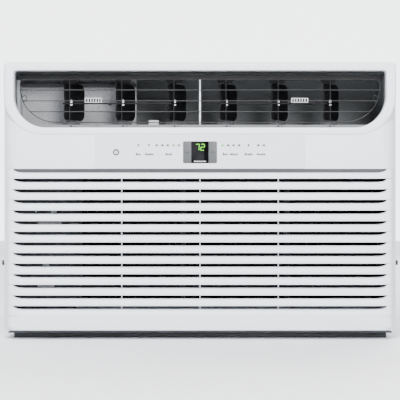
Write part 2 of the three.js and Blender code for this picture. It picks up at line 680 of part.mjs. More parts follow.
// A domed can with an open port at the top for its discharge tube.
function compressor() {
  const dome = COMPRESSOR_RADIUS / 2;
  const arc = (radius, rise, from, to) => {
    const points = [];
    for (let i = 0; i <= ARC_STEPS; i += 1) {
      const angle = THREE.MathUtils.degToRad(from + ((to - from) * i) / ARC_STEPS);
      points.push([radius * Math.cos(angle), rise * Math.sin(angle)]);
    }
    return points;
  };
  const inner = COMPRESSOR_RADIUS - COMPRESSOR_WALL;
  const port = TUBE_RADIUS + RUN;
  const portAngle = (radius) => THREE.MathUtils.radToDeg(Math.acos(port / radius));
  const top = COMPRESSOR_TOP_Z - dome;
  const foot = COMPRESSOR_Z + dome;
  const shell = [
    ...arc(COMPRESSOR_RADIUS, dome, -90, 0).map(([r, z]) => [Math.max(r, 0), foot + z]),
    ...arc(COMPRESSOR_RADIUS, dome, 0, portAngle(COMPRESSOR_RADIUS)).map(([r, z]) => [r, top + z]),
    ...arc(inner, dome - COMPRESSOR_WALL, portAngle(inner), 0).map(([r, z]) => [r, top + z]),
    ...arc(inner, dome - COMPRESSOR_WALL, 0, -90).map(([r, z]) => [Math.max(r, 0), foot + z]),
  ];
  return turned(shell.map(([r, z]) => [r < RUN / 10 ? 0 : r, z]), "z", COMPRESSOR_X, COMPRESSOR_Y, 24);
}

// The plate on rubber feet that carries the compressor: one pressing with four stub feet.
function compressorPlate() {
  const reach = COMPRESSOR_RADIUS;
  const top = COMPRESSOR_Z - GAP;
  const pieces = [block(
    COMPRESSOR_X - reach, COMPRESSOR_X + reach, COMPRESSOR_Y - reach, COMPRESSOR_Y + reach,
    top - 2 * PLATE, top,
  )];
  for (const sx of [-1, 1]) {
    for (const sy of [-1, 1]) {
      const x = COMPRESSOR_X + sx * (reach - GLAND_RADIUS);
      const y = COMPRESSOR_Y + sy * (reach - GLAND_RADIUS);
      pieces.push(rod("z", x, y, PAN_FLOOR_Z + GAP, top - PAN_FLOOR_Z - GAP - PLATE, GLAND_RADIUS, 10));
    }
  }
  return shaped(pieces);
}

const ACCUMULATOR_X = COMPRESSOR_X + COMPRESSOR_RADIUS + ACCUMULATOR_SPACE + ACCUMULATOR_RADIUS;
const ACCUMULATOR_TOP_Z = SUCTION_Z - ACCUMULATOR_HEAD;

function accumulator() {
  const r = ACCUMULATOR_RADIUS;
  const z0 = ACCUMULATOR_TOP_Z - ACCUMULATOR_HEIGHT;
  const profile = [
    [0, z0], [r / 2, z0], [r, z0 + r / 2], [r, ACCUMULATOR_TOP_Z - r / 2], [r / 2, ACCUMULATOR_TOP_Z],
    [0, ACCUMULATOR_TOP_Z],
  ];
  return turned(profile, "z", ACCUMULATOR_X, COMPRESSOR_Y, 16);
}

function suctionTube() {
  return tube([
    [EVAPORATOR_LEFT_X - GAP, EVAPORATOR_MIDDLE_Y, SUCTION_Z],
    [SUCTION_X, EVAPORATOR_MIDDLE_Y, SUCTION_Z],
    [SUCTION_X, COMPRESSOR_Y, SUCTION_Z],
    [ACCUMULATOR_X, COMPRESSOR_Y, SUCTION_Z],
    [ACCUMULATOR_X, COMPRESSOR_Y, ACCUMULATOR_TOP_Z + GAP],
  ], TUBE_RADIUS, TUBE_BEND, 40, 6);
}

function dischargeTube() {
  const z = COMPRESSOR_TOP_Z + 2 * TUBE_BEND;
  return tube([
    [COMPRESSOR_X, COMPRESSOR_Y, COMPRESSOR_TOP_Z - COMPRESSOR_WALL / 2],
    [COMPRESSOR_X, COMPRESSOR_Y, z],
    [TUBE_X, COMPRESSOR_Y, z],
    [TUBE_X, CONDENSER_Y + COIL_THICK / 2, z],
    [CONDENSER_LEFT_X - GAP, CONDENSER_Y + COIL_THICK / 2, z],
  ], TUBE_RADIUS, TUBE_BEND, 32, 6);
}

const DRIER_Y = CONDENSER_Y - SHROUD_SPACE - DRIER_LENGTH;

function filterDrier() {
  const r = DRIER_RADIUS;
  const end = DRIER_Y + DRIER_LENGTH;
  const profile = [[0, DRIER_Y], [r / 2, DRIER_Y], [r, DRIER_Y + r], [r, end - r], [r / 2, end], [0, end]];
  return turned(profile, "y", TUBE_X, CAPILLARY_Z, 16);
}

function capillaryTube() {
  return tube([
    [TUBE_X, DRIER_Y - GAP, CAPILLARY_Z],
    [TUBE_X, EVAPORATOR_MIDDLE_Y, CAPILLARY_Z],
    [EVAPORATOR_LEFT_X - GAP, EVAPORATOR_MIDDLE_Y, CAPILLARY_Z],
  ], CAPILLARY_RADIUS, TUBE_BEND, 28, 6);
}

// ---------------------------------------------------------------- chassis: motor and fans
function motorBody() {
  const bore = SHAFT_RADIUS + RUN / 2;
  const shoulder = MOTOR_RADIUS * MOTOR_SHOULDER_SHARE;
  const end = MOTOR_Y + MOTOR_LENGTH;
  const profile = [
    [bore, MOTOR_Y], [shoulder, MOTOR_Y], [MOTOR_RADIUS, MOTOR_Y + MOTOR_SPACE],
    [MOTOR_RADIUS, end - MOTOR_SPACE],
    [shoulder, end], [bore, end], [bore, MOTOR_Y],
  ];
  return turned(profile, "y", SHAFT_X, SHAFT_Z);
}

// An upright plate whose rounded seat holds the motor from below.
function motorBracket() {
  const half = MOTOR_RADIUS * MOTOR_SEAT_SHARE;
  const y = MOTOR_Y + MOTOR_LENGTH / 2;
  const plate = block(SHAFT_X - half, SHAFT_X + half, y, y + MOTOR_SEAT_THICK, PAN_FLOOR_Z + GAP, SHAFT_Z);
  const foot = block(
    SHAFT_X - half, SHAFT_X + half, y, y + MOTOR_RADIUS, PAN_FLOOR_Z + GAP, PAN_FLOOR_Z + GAP + PLATE,
  );
  const seat = rod(
    "y", SHAFT_X, SHAFT_Z, y - OVERRUN, MOTOR_SEAT_THICK + 2 * OVERRUN, MOTOR_RADIUS + GAP, 48,
  );
  return shaped([plate, foot], [seat]);
}

const BLOWER_Y = SCROLL_Y + SCROLL_WALL + 2 * RUN;
const BLOWER_LENGTH = SCROLL_DEPTH - SCROLL_WALL - 4 * RUN;
const FAN_Y = SHROUD_Y + PLATE + RUN;

function motorShaft() {
  const y0 = BLOWER_Y + BLOWER_LENGTH / 2;
  return rod("y", SHAFT_X, SHAFT_Z, y0, FAN_Y + FAN_WIDTH + RUN - y0, SHAFT_RADIUS, 16);
}

function blowerWheel() {
  const R = BLOWER_RADIUS;
  const back = BLOWER_Y + BLOWER_LENGTH;
  const rim = 4 * RUN;
  const disc = [
    [SHAFT_RADIUS + GAP, back - rim], [R, back - rim], [R, back], [SHAFT_RADIUS + GAP, back],
    [SHAFT_RADIUS + GAP, back - rim],
  ];
  const hub = [
    [SHAFT_RADIUS + GAP, back - BLOWER_LENGTH / 3],
    [BLOWER_HUB_SHARE * SHAFT_RADIUS, back - BLOWER_LENGTH / 3],
    [BLOWER_HUB_SHARE * SHAFT_RADIUS, back - RUN], [SHAFT_RADIUS + GAP, back - RUN],
    [SHAFT_RADIUS + GAP, back - BLOWER_LENGTH / 3],
  ];
  const ring = [
    [R - BLOWER_BLADE, BLOWER_Y], [R, BLOWER_Y], [R, BLOWER_Y + rim],
    [R - BLOWER_BLADE, BLOWER_Y + rim], [R - BLOWER_BLADE, BLOWER_Y],
  ];
  const pieces = [disc, hub, ring].map((profile) => turned(profile, "y", SHAFT_X, SHAFT_Z, 32));
  for (let i = 0; i < BLOWER_BLADES; i += 1) {
    const blade = block(-PLATE / 2, PLATE / 2, BLOWER_Y + RUN, back - RUN, R - BLOWER_BLADE + RUN, R - RUN);
    blade.rotateY((Math.PI * 2 * i) / BLOWER_BLADES);
    pieces.push(blade.translate(SHAFT_X, 0, SHAFT_Z));
  }
  return shaped(pieces);
}

function condenserFan() {
  const hub = [
    [SHAFT_RADIUS + GAP, FAN_Y], [FAN_HUB, FAN_Y], [FAN_HUB, FAN_Y + FAN_WIDTH],
    [SHAFT_RADIUS + GAP, FAN_Y + FAN_WIDTH], [SHAFT_RADIUS + GAP, FAN_Y],
  ];
  const pieces = [turned(hub, "y", SHAFT_X, SHAFT_Z, 20)];
  const middle = FAN_Y + FAN_WIDTH / 2;
  const pitch = THREE.MathUtils.degToRad(FAN_PITCH_DEG);
  for (let i = 0; i < FAN_BLADES; i += 1) {
    const corners = [0, 0, FAN_CHORD * FAN_LEADING_SHARE, FAN_CHORD * FAN_TRAILING_SHARE];
    const outline = roundedRect(-FAN_CHORD, FAN_CHORD, FAN_HUB - RUN, FAN_RADIUS, corners);
    const blade = prism(outline, "y", -PLATE, 2 * PLATE, 3);
    blade.rotateZ(pitch).rotateY((Math.PI * 2 * i) / FAN_BLADES);
    pieces.push(blade.translate(SHAFT_X, middle, SHAFT_Z));
  }
  return shaped(pieces);
}

// ---------------------------------------------------------------- outlet: rails, guard, divider
function pivotX(index) {
  return (index - (2 * VANES_PER_BANK - 1) / 2) * VANE_PITCH;
}

function pivots() {
  return Array.from({ length: 2 * VANES_PER_BANK }, (_, index) => pivotX(index));
}

function pivotHoles(z0, z1) {
  return pivots().map(
    (x) => rod("z", x, PIVOT_Y, z0 - OVERRUN, z1 - z0 + 2 * OVERRUN, PIVOT_RADIUS + GAP, 10),
  );
}

function railBar(z) {
  return block(-RAIL_HALF, RAIL_HALF, PIVOT_Y - RAIL_FRONT, PIVOT_Y + RAIL_REAR, z, z + RAIL_THICK);
}

function lowerRail() {
  const z = RAIL_TOP_Z - RAIL_THICK;
  return shaped([railBar(z)], pivotHoles(z, RAIL_TOP_Z));
}

// The upper rail, with a tapered bracket over each vane.
function upperRail() {
  const brackets = pivots().map((x) => {
    const foot = BRACKET_FOOT_WIDTH / 2;
    const head = BRACKET_TOP_WIDTH / 2;
    const top = UPPER_RAIL_Z + RUN;
    const outline = polygon([[x - foot, BRACKET_Z], [x + foot, BRACKET_Z], [x + head, top], [x - head, top]]);
    return prism(outline, "y", PIVOT_Y - BRACKET_DEPTH / 2, BRACKET_DEPTH);
  });
  return shaped([railBar(UPPER_RAIL_Z), ...brackets], pivotHoles(BRACKET_Z, UPPER_RAIL_Z + RAIL_THICK));
}

function centreDivider() {
  return block(
    -DIVIDER_THICK / 2, DIVIDER_THICK / 2, PIVOT_Y - RAIL_FRONT, PIVOT_Y + RAIL_REAR, RAIL_TOP_Z + GAP,
    UPPER_RAIL_Z - GAP,
  );
}

const GUARD_HALF = OUTLET_HALF - GUARD_SIDE;
const GUARD_TOP_Z = OUTLET_TOP_Z - GUARD_TOP;
const GUARD_FOOT_Z = OUTLET_BOTTOM_Z + GUARD_FOOT;

// Half the guard's width at a height, to the middle of its frame wire.
function guardHalfAt(z) {
  const inCorner = GUARD_CORNER - (z - GUARD_FOOT_Z);
  if (inCorner <= 0) {
    return GUARD_HALF;
  }
  return GUARD_HALF - GUARD_CORNER + Math.sqrt(GUARD_CORNER ** 2 - inCorner ** 2);
}

function wireGuard() {
  const ring = (margin) => roundedRect(
    -GUARD_HALF - margin, GUARD_HALF + margin, GUARD_FOOT_Z - margin, GUARD_TOP_Z + margin,
    [GUARD_CORNER + margin, GUARD_CORNER + margin, GUARD_TOP_RADIUS + margin, GUARD_TOP_RADIUS + margin],
  );
  const frame = ring(WIRE_RADIUS);
  frame.holes.push(ring(-WIRE_RADIUS));
  const wires = [prism(frame, "y", GUARD_Y - WIRE_RADIUS, 2 * WIRE_RADIUS, 4)];
  const barY = GUARD_Y - WIRE_WELD_SHARE * WIRE_RADIUS;
  for (let i = 1; i <= GUARD_BARS; i += 1) {
    const z = GUARD_FOOT_Z + ((GUARD_TOP_Z - GUARD_FOOT_Z) * i) / (GUARD_BARS + 1);
    const half = guardHalfAt(z) + WIRE_RADIUS;
    wires.push(wire("x", barY, z, -half, 2 * half));
  }
  for (const x of pivots()) {
    wires.push(wire("z", x, GUARD_Y, GUARD_FOOT_Z, GUARD_TOP_Z - GUARD_FOOT_Z));
  }
  for (const side of [-1, 1]) {
    for (const z of [GUARD_FOOT_Z, GUARD_TOP_Z]) {
      const x = side * 2 * VANE_PITCH;
      wires.push(wire("y", x, z, GUARD_Y, GUARD_LEG));
    }
  }
  return shaped(wires);
}

// ---------------------------------------------------------------- vanes and their links
// A vane about its own pivot: the chord runs along Y and the link pin stands in a notch.
function vaneShape() {
  const front = VANE_FRONT_RADIUS;
  const rear = VANE_REAR_RADIUS;
  const outline = roundedRect(-VANE_FRONT, VANE_REAR, VANE_BOTTOM_Z, VANE_TOP_Z, [front, rear, rear, front]);
  const flareTop = VANE_BOTTOM_Z + RUN;
  const foot = RAIL_TOP_Z + GAP;
  const flare = [[0, foot], [PIVOT_FLARE, foot], [PIVOT_RADIUS, flareTop], [0, flareTop]];
  const pinFoot = foot - RAIL_THICK;
  const notchFloor = LINK_Z - RUN;
  const notchRoof = LINK_Z + LINK_THICK + RUN;
  const body = shaped(
    [
      prism(outline, "x", -VANE_THICK / 2, VANE_THICK, 3),
      turned(flare, "z", 0, 0, 10),
      rod("z", 0, 0, pinFoot, VANE_BOTTOM_Z + RUN - pinFoot, PIVOT_RADIUS, 8),
      rod("z", 0, 0, VANE_TOP_Z - RUN, UPPER_RAIL_Z + RAIL_THICK - VANE_TOP_Z, PIVOT_RADIUS, 8),
    ],
    [block(-VANE_FRONT, VANE_FRONT, -VANE_FRONT - OVERRUN, NOTCH_BACK - LINK_ARM, notchFloor, notchRoof)],
  );
  const pin = rod("z", 0, -LINK_ARM, notchFloor - RUN, notchRoof - notchFloor + 2 * RUN, LINK_PIN_RADIUS, 8);
  return shaped([body, pin]);
}

// A bank's link about its middle pin: a flat bar with a thumb grip in front of the guard.
function linkShape(pinY, gripX) {
  const reach = ((VANES_PER_BANK - 1) / 2) * VANE_PITCH;
  const gripBack = GUARD_Y - GRIP_CLEAR - pinY;
  const bar = block(
    -reach - LINK_END, reach + LINK_END, -LINK_WIDTH / 2, LINK_WIDTH / 2, LINK_Z, LINK_Z + LINK_THICK,
  );
  const stem = block(
    gripX - STEM_WIDTH / 2, gripX + STEM_WIDTH / 2, gripBack - RUN, -LINK_WIDTH / 2 + RUN, LINK_Z,
    LINK_Z + LINK_THICK,
  );
  const grip = block(
    gripX - GRIP_WIDTH / 2, gripX + GRIP_WIDTH / 2, gripBack - GRIP_DEPTH, gripBack, LINK_Z,
    LINK_Z + GRIP_HEIGHT,
  );
  const holes = Array.from({ length: VANES_PER_BANK }, (_, i) => rod(
    "z", i * VANE_PITCH - reach, 0, LINK_Z - OVERRUN, LINK_THICK + 2 * OVERRUN, LINK_PIN_RADIUS + GAP, 10,
  ));
  return shaped([bar, stem, grip], holes);
}

function vaneBank(side, first, gripX) {
  const group = new THREE.Group();
  const shape = vaneShape();
  for (let i = 0; i < VANES_PER_BANK; i += 1) {
    const name = `vane_${side}_${i + 1}`;
    group.add(piece(name, shape.clone(), "vane", [pivotX(first + i), PIVOT_Y, 0], VANE_REST));
  }
  const middle = pivotX(first + (VANES_PER_BANK - 1) / 2);
  const pinX = middle + LINK_ARM * Math.sin(VANE_REST);
  const pinY = PIVOT_Y - LINK_ARM * Math.cos(VANE_REST);
  group.add(piece(`link_${side}`, linkShape(pinY, gripX), "grip", [pinX, pinY, 0]));
  return group;
}

// ---------------------------------------------------------------- front panel and keypad
const FILTER_Y = PANEL_BACK_Y - FILTER_INSET;
const FILTER_Z = PANEL_BOTTOM + FILTER_FOOT;
const FILTER_HEIGHT = OUTLET_BOTTOM_Z - FILTER_DROP - FILTER_Z;
const FILTER_BACK_Y = FILTER_Y + FILTER_THICK + GAP + MESH_THICK;
const SCREW_Y = PANEL_BACK_Y - SCREW_INSET;
const GLAND_Y = PANEL_BACK_Y - GLAND_INSET;
const INNER_FACE_Y = FACE_Y + PANEL_WALL;

function panelShell() {
  const half = WIDTH / 2;
  const plan = (inset) => roundedRect(
    -half + inset, half - inset, FACE_Y + inset, PANEL_BACK_Y + (inset > 0 ? OVERRUN : 0),
    [PANEL_CORNER - inset, PANEL_CORNER - inset, 0, 0],
  );
  const inside = HEIGHT - PANEL_BOTTOM - 2 * PANEL_WALL;
  return shaped(
    [prism(plan(0), "z", PANEL_BOTTOM, HEIGHT - PANEL_BOTTOM, 4)],
    [prism(plan(PANEL_WALL), "z", PANEL_BOTTOM + PANEL_WALL, inside, 4)],
  );
}

function frontPanel() {
  const half = WIDTH / 2;
  const wallIn = half - PANEL_WALL - OVERRUN;
  const slotHalf = half - SLOT_SIDE;
  const overlayHalf = OVERLAY_WIDTH / 2 + GAP;
  const openHalf = OVERLAY_WIDTH / 2 - OVERLAY_LEDGE;
  const rim = prism(outletOutline(RIM_WIDTH), "y", FRONT_Y, RIM_DEPTH, 5);
  const cutters = [
    prism(outletOutline(0), "y", FRONT_Y - OVERRUN, RIM_DEPTH + 2 * OVERRUN, 5),
    block(
      -overlayHalf, overlayHalf, FRONT_Y, FACE_Y + OVERLAY_THICK + GAP, OVERLAY_BOTTOM_Z - GAP,
      OVERLAY_TOP_Z + GAP,
    ),
    block(
      -openHalf, openHalf, FRONT_Y, INNER_FACE_Y + OVERRUN, OVERLAY_BOTTOM_Z + OVERLAY_LEDGE,
      OVERLAY_TOP_Z - OVERLAY_LEDGE,
    ),
    block(
      wallIn, half + OVERRUN, FILTER_Y - RUN, FILTER_BACK_Y + RUN, FILTER_Z - RUN,
      FILTER_Z + FILTER_HEIGHT + RUN,
    ),
    block(
      -half - OVERRUN, -wallIn, GLAND_Y - GLAND_RADIUS - RUN, PANEL_BACK_Y + OVERRUN,
      GLAND_HEIGHT - GLAND_RADIUS - RUN, GLAND_HEIGHT + GLAND_RADIUS + RUN,
    ),
    rod("x", SCREW_Y, SCREW_HEIGHT, -half - OVERRUN, 2 * half + 2 * OVERRUN, SCREW_SHANK_RADIUS + GAP, 16),
  ];
  for (let i = 0; i < SLOT_COUNT; i += 1) {
    const z = FIRST_SLOT_Z - i * SLOT_PITCH;
    cutters.push(block(
      -slotHalf, slotHalf, FRONT_Y - OVERRUN, INNER_FACE_Y + RIM_DEPTH / 2, z - SLOT_HEIGHT / 2,
      z + SLOT_HEIGHT / 2,
    ));
  }
  return shaped([panelShell(), rim], cutters);
}

function screw() {
  const seat = GAP + SCREW_WASHER;
  const profile = [
    [0, -SCREW_SHANK], [SCREW_SHANK_RADIUS, -SCREW_SHANK], [SCREW_SHANK_RADIUS, GAP],
    [SCREW_WASHER_RADIUS, GAP], [SCREW_WASHER_RADIUS, seat], [0, seat],
  ];
  const head = rod("x", 0, 0, seat - GAP, SCREW_HEAD - seat + GAP, SCREW_HEAD_RADIUS, 6);
  return shaped([turned(profile, "x", 0, 0, 12), head]);
}

// A key or window about the middle of its front face.
function keyBlock(width, height, depth) {
  return block(-width / 2, width / 2, 0, depth, -height / 2, height / 2);
}

const TEMP_KEY_X = WINDOW_WIDTH / 2 + GAP + TEMP_KEY_WIDTH / 2;

function controlOverlay() {
  const half = OVERLAY_WIDTH / 2;
  const plate = block(-half, half, FACE_Y, FACE_Y + OVERLAY_THICK, OVERLAY_BOTTOM_Z, OVERLAY_TOP_Z);
  const hole = (x, width, height) => {
    const opening = keyBlock(width + 2 * GAP, height + 2 * GAP, OVERLAY_THICK + 2 * OVERRUN);
    return opening.translate(x, FACE_Y - OVERRUN, OVERLAY_MIDDLE_Z);
  };
  return shaped([plate], [
    hole(0, 2 * TEMP_KEY_X + TEMP_KEY_WIDTH, MODULE_HEIGHT),
    rod(
      "y", POWER_KEY_X, OVERLAY_MIDDLE_Z, FACE_Y - OVERRUN, OVERLAY_THICK + 2 * OVERRUN,
      POWER_KEY_RADIUS + GAP,
    ),
    ...FLAT_KEYS.map((key) => hole(key.x, key.width, KEY_HEIGHT)),
  ]);
}

function keypad() {
  const group = new THREE.Group();
  const place = (x, rise = 0) => [x, FACE_Y - rise, OVERLAY_MIDDLE_Z];
  const tempKey = keyBlock(TEMP_KEY_WIDTH, MODULE_HEIGHT, KEY_DEPTH);
  const boardHalf = OVERLAY_WIDTH / 2 - OVERLAY_LEDGE;
  const boardY = FACE_Y + KEY_DEPTH + RUN;
  const board = block(
    -boardHalf, boardHalf, boardY, boardY + BOARD_THICK, OVERLAY_BOTTOM_Z + OVERLAY_LEDGE,
    OVERLAY_TOP_Z - OVERLAY_LEDGE,
  );
  group.add(
    piece("control_overlay", controlOverlay(), "overlay"),
    piece("control_board", board, "board"),
    piece("display_window", keyBlock(WINDOW_WIDTH, MODULE_HEIGHT, KEY_DEPTH), "glass", place(0)),
    piece("key_temp_down", tempKey, "key", place(-TEMP_KEY_X, MODULE_RISE)),
    piece("key_temp_up", tempKey.clone(), "key", place(TEMP_KEY_X, MODULE_RISE)),
    piece("key_power", rod("y", 0, 0, 0, KEY_DEPTH, POWER_KEY_RADIUS), "overlay", place(POWER_KEY_X)),
    ...FLAT_KEYS.map(
      (key) => piece(key.name, keyBlock(key.width, KEY_HEIGHT, KEY_DEPTH), "overlay", place(key.x)),
    ),
  );
  return group;
}

// A channel that the filter's long edge slides in, open towards the filter.
function filterGuide(edgeZ, direction) {
  const front = FILTER_Y - RUN / 2;
  const back = FILTER_BACK_Y + RUN / 2;
  const floor = edgeZ - direction * GAP;
  const foot = floor - direction * GUIDE_WALL;
  const lip = edgeZ + direction * 3 * GUIDE_WALL;
  const corners = [
    [front - GUIDE_WALL, foot], [back + GUIDE_WALL, foot], [back + GUIDE_WALL, lip], [back, lip],
    [back, floor],
    [front, floor], [front, lip], [front - GUIDE_WALL, lip],
  ];
  const outline = polygon(direction > 0 ? corners : corners.reverse());
  return prism(outline, "x", FILTER_LEFT_X, WIDTH / 2 - PANEL_WALL - GAP - FILTER_LEFT_X);
}

function front() {
  const group = new THREE.Group();
  group.add(
    piece("front_panel", frontPanel(), "panel"),
    piece("filter_guide_top", filterGuide(FILTER_Z + FILTER_HEIGHT, -1), "panel"),
    piece("filter_guide_bottom", filterGuide(FILTER_Z, 1), "panel"),
    piece("front_screw_right", screw(), "steel", [WIDTH / 2, SCREW_Y, SCREW_HEIGHT]),
    piece("front_screw_left", screw(), "steel", [-WIDTH / 2, SCREW_Y, SCREW_HEIGHT], Math.PI),
    keypad(),
  );
  return group;
}

// ---------------------------------------------------------------- air filter
function filterFrame() {
  const right = WIDTH / 2;
  const top = FILTER_Z + FILTER_HEIGHT;
  const border = FILTER_BORDER;
  const bays = FILTER_MULLIONS + 1;
  const bay = (right - FILTER_LEFT_X - border) / bays;
  const openings = [];
  for (let i = 0; i < bays; i += 1) {
    const x0 = FILTER_LEFT_X + border + i * bay;
    openings.push(block(
      x0, x0 + bay - border, FILTER_Y - OVERRUN, FILTER_Y + FILTER_THICK + OVERRUN, FILTER_Z + border,
      top - border,
    ));
  }
  return shaped([block(FILTER_LEFT_X, right, FILTER_Y, FILTER_Y + FILTER_THICK, FILTER_Z, top)], openings);
}

function filterMesh() {
  const y = FILTER_Y + FILTER_THICK + GAP;
  const right = WIDTH / 2 - PANEL_WALL - RUN;
  return block(FILTER_LEFT_X, right, y, y + MESH_THICK, FILTER_Z, FILTER_Z + FILTER_HEIGHT);
}

function cordGland() {
  const outside = -WIDTH / 2;
  const body = rod("x", GLAND_Y, GLAND_HEIGHT, outside, GLAND_LENGTH, GLAND_RADIUS);
  const bore = rod("x", GLAND_Y, GLAND_HEIGHT, outside - OVERRUN, GLAND_LENGTH, GLAND_BORE, 16);
  return shaped([body], [bore]);
}

// ---------------------------------------------------------------- assembly
function chassis() {
  const group = new THREE.Group();
  const half = CHASSIS_HALF;
  const right = half - OVERRUN;
  const drainLeft = EVAPORATOR_LEFT_X - 2 * DRAIN_WALL;
  const drainBack = EVAPORATOR_Y + COIL_THICK + DRAIN_WALL;
  const basePan = tray(-half, half, CHASSIS_FRONT_Y + 2 * RUN, CHASSIS_BACK_Y, PAN_Z, PAN_TOP_Z, PAN_WALL);
  const drainPan = tray(
    drainLeft, right, EVAPORATOR_Y - 2 * DRAIN_WALL, drainBack, DRAIN_BOTTOM_Z, DRAIN_TOP_Z, DRAIN_WALL,
  );
  group.add(
    piece("base_pan", basePan, "steel"),
    piece("drain_pan", drainPan, "foam"),
    piece("bulkhead", bulkhead(), "steel"),
    piece("discharge_housing", dischargeHousing(), "dark"),
    piece("scroll_housing", scrollHousing(), "dark"),
    piece("fan_shroud", fanShroud(), "dark"),
    piece("evaporator_coil", evaporatorCoil(), "aluminium"),
    piece("condenser_coil", condenserCoil(), "aluminium"),
    piece("rear_guard", rearGuard(), "wire"),
    piece("compressor", compressor(), "rail"),
    piece("compressor_plate", compressorPlate(), "steel"),
    piece("accumulator", accumulator(), "rail"),
    piece("suction_tube", suctionTube(), "copper"),
    piece("discharge_tube", dischargeTube(), "copper"),
    piece("filter_drier", filterDrier(), "copper"),
    piece("capillary_tube", capillaryTube(), "copper"),
    piece("control_box", controlBox(), "steel"),
    piece("run_capacitor", capacitor(), "aluminium"),
    piece("intake_side_plate", sidePlate(), "steel"),
    piece("cord_gland", cordGland(), "rubber"),
    piece("motor_body", motorBody(), "steel"),
    piece("motor_bracket", motorBracket(), "steel"),
    piece("vane_rail_top", upperRail(), "rail"),
    piece("vane_rail_bottom", lowerRail(), "steel"),
    piece("wire_guard", wireGuard(), "wire"),
    piece("centre_divider", centreDivider(), "panel"),
  );
  return group;
}

function fans() {
  const group = new THREE.Group();
  group.add(
    piece("motor_shaft", motorShaft(), "steel"),
    piece("blower_wheel", blowerWheel(), "dark"),
    piece("condenser_fan", condenserFan(), "dark"),
  );
  return group;
}

function airFilter() {
  const group = new THREE.Group();
  group.add(
    piece("filter_frame", filterFrame(), "dark"),
    piece("filter_mesh", filterMesh(), "dark"),
  );
  return group;
}

const airConditioner = new THREE.Group();
airConditioner.add(
  sleeve(),
  chassis(),
  fans(),
  front(),
  airFilter(),
  vaneBank("left", 0, GRIP_OFFSETS[0]),
  vaneBank("right", VANES_PER_BANK, GRIP_OFFSETS[1]),
);

export default airConditioner;
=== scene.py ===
"""Looks of a slide-out window air conditioner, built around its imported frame.

Every piece is in metres in the frame's own axes: +X to the right seen from the front, the front
faces -Y, +Z up. Each sub-assembly is a class whose fields are its sizes.
"""

import logging
import math
from dataclasses import dataclass, field
from enum import Enum
from typing import Callable, Iterable, Sequence

import bmesh
import bpy
from mathutils import Matrix, Vector


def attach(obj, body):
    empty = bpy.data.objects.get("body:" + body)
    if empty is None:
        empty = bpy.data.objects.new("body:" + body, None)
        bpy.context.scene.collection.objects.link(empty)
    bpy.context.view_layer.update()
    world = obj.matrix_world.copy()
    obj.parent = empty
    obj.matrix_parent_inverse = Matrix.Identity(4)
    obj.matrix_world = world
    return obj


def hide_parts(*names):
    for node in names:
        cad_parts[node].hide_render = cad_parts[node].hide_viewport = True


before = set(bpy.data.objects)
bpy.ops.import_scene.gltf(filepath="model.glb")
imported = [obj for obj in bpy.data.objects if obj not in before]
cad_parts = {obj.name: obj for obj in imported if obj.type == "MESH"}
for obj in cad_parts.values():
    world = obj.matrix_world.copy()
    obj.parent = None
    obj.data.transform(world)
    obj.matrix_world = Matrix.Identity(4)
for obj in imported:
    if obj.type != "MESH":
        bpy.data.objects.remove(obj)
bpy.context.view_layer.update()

log = logging.getLogger("air_conditioner")

Point = tuple[float, float, float]
Colour = tuple[float, float, float]
Test = Callable[[Vector, Vector], bool]
Piece = bpy.types.Object
Socket = bpy.types.NodeSocket


class Body(Enum):
    """The bodies of the frame that pieces ride on."""

    SLEEVE = "sleeve"
    CHASSIS = "chassis"
    FAN = "fan"
    FRONT = "front"
    FILTER = "air_filter"


class Axis(Enum):
    """An axis of the frame."""

    X = 0
    Y = 1
    Z = 2

    def tilt(self) -> Point:
        """The turn that lays a primitive made along Z along this axis."""
        return {Axis.X: (0, math.pi / 2, 0), Axis.Y: (math.pi / 2, 0, 0), Axis.Z: (0, 0, 0)}[self]


class Kind(Enum):
    """What an edit-mode selection is made of."""

    VERT = "VERT"
    EDGE = "EDGE"
    FACE = "FACE"


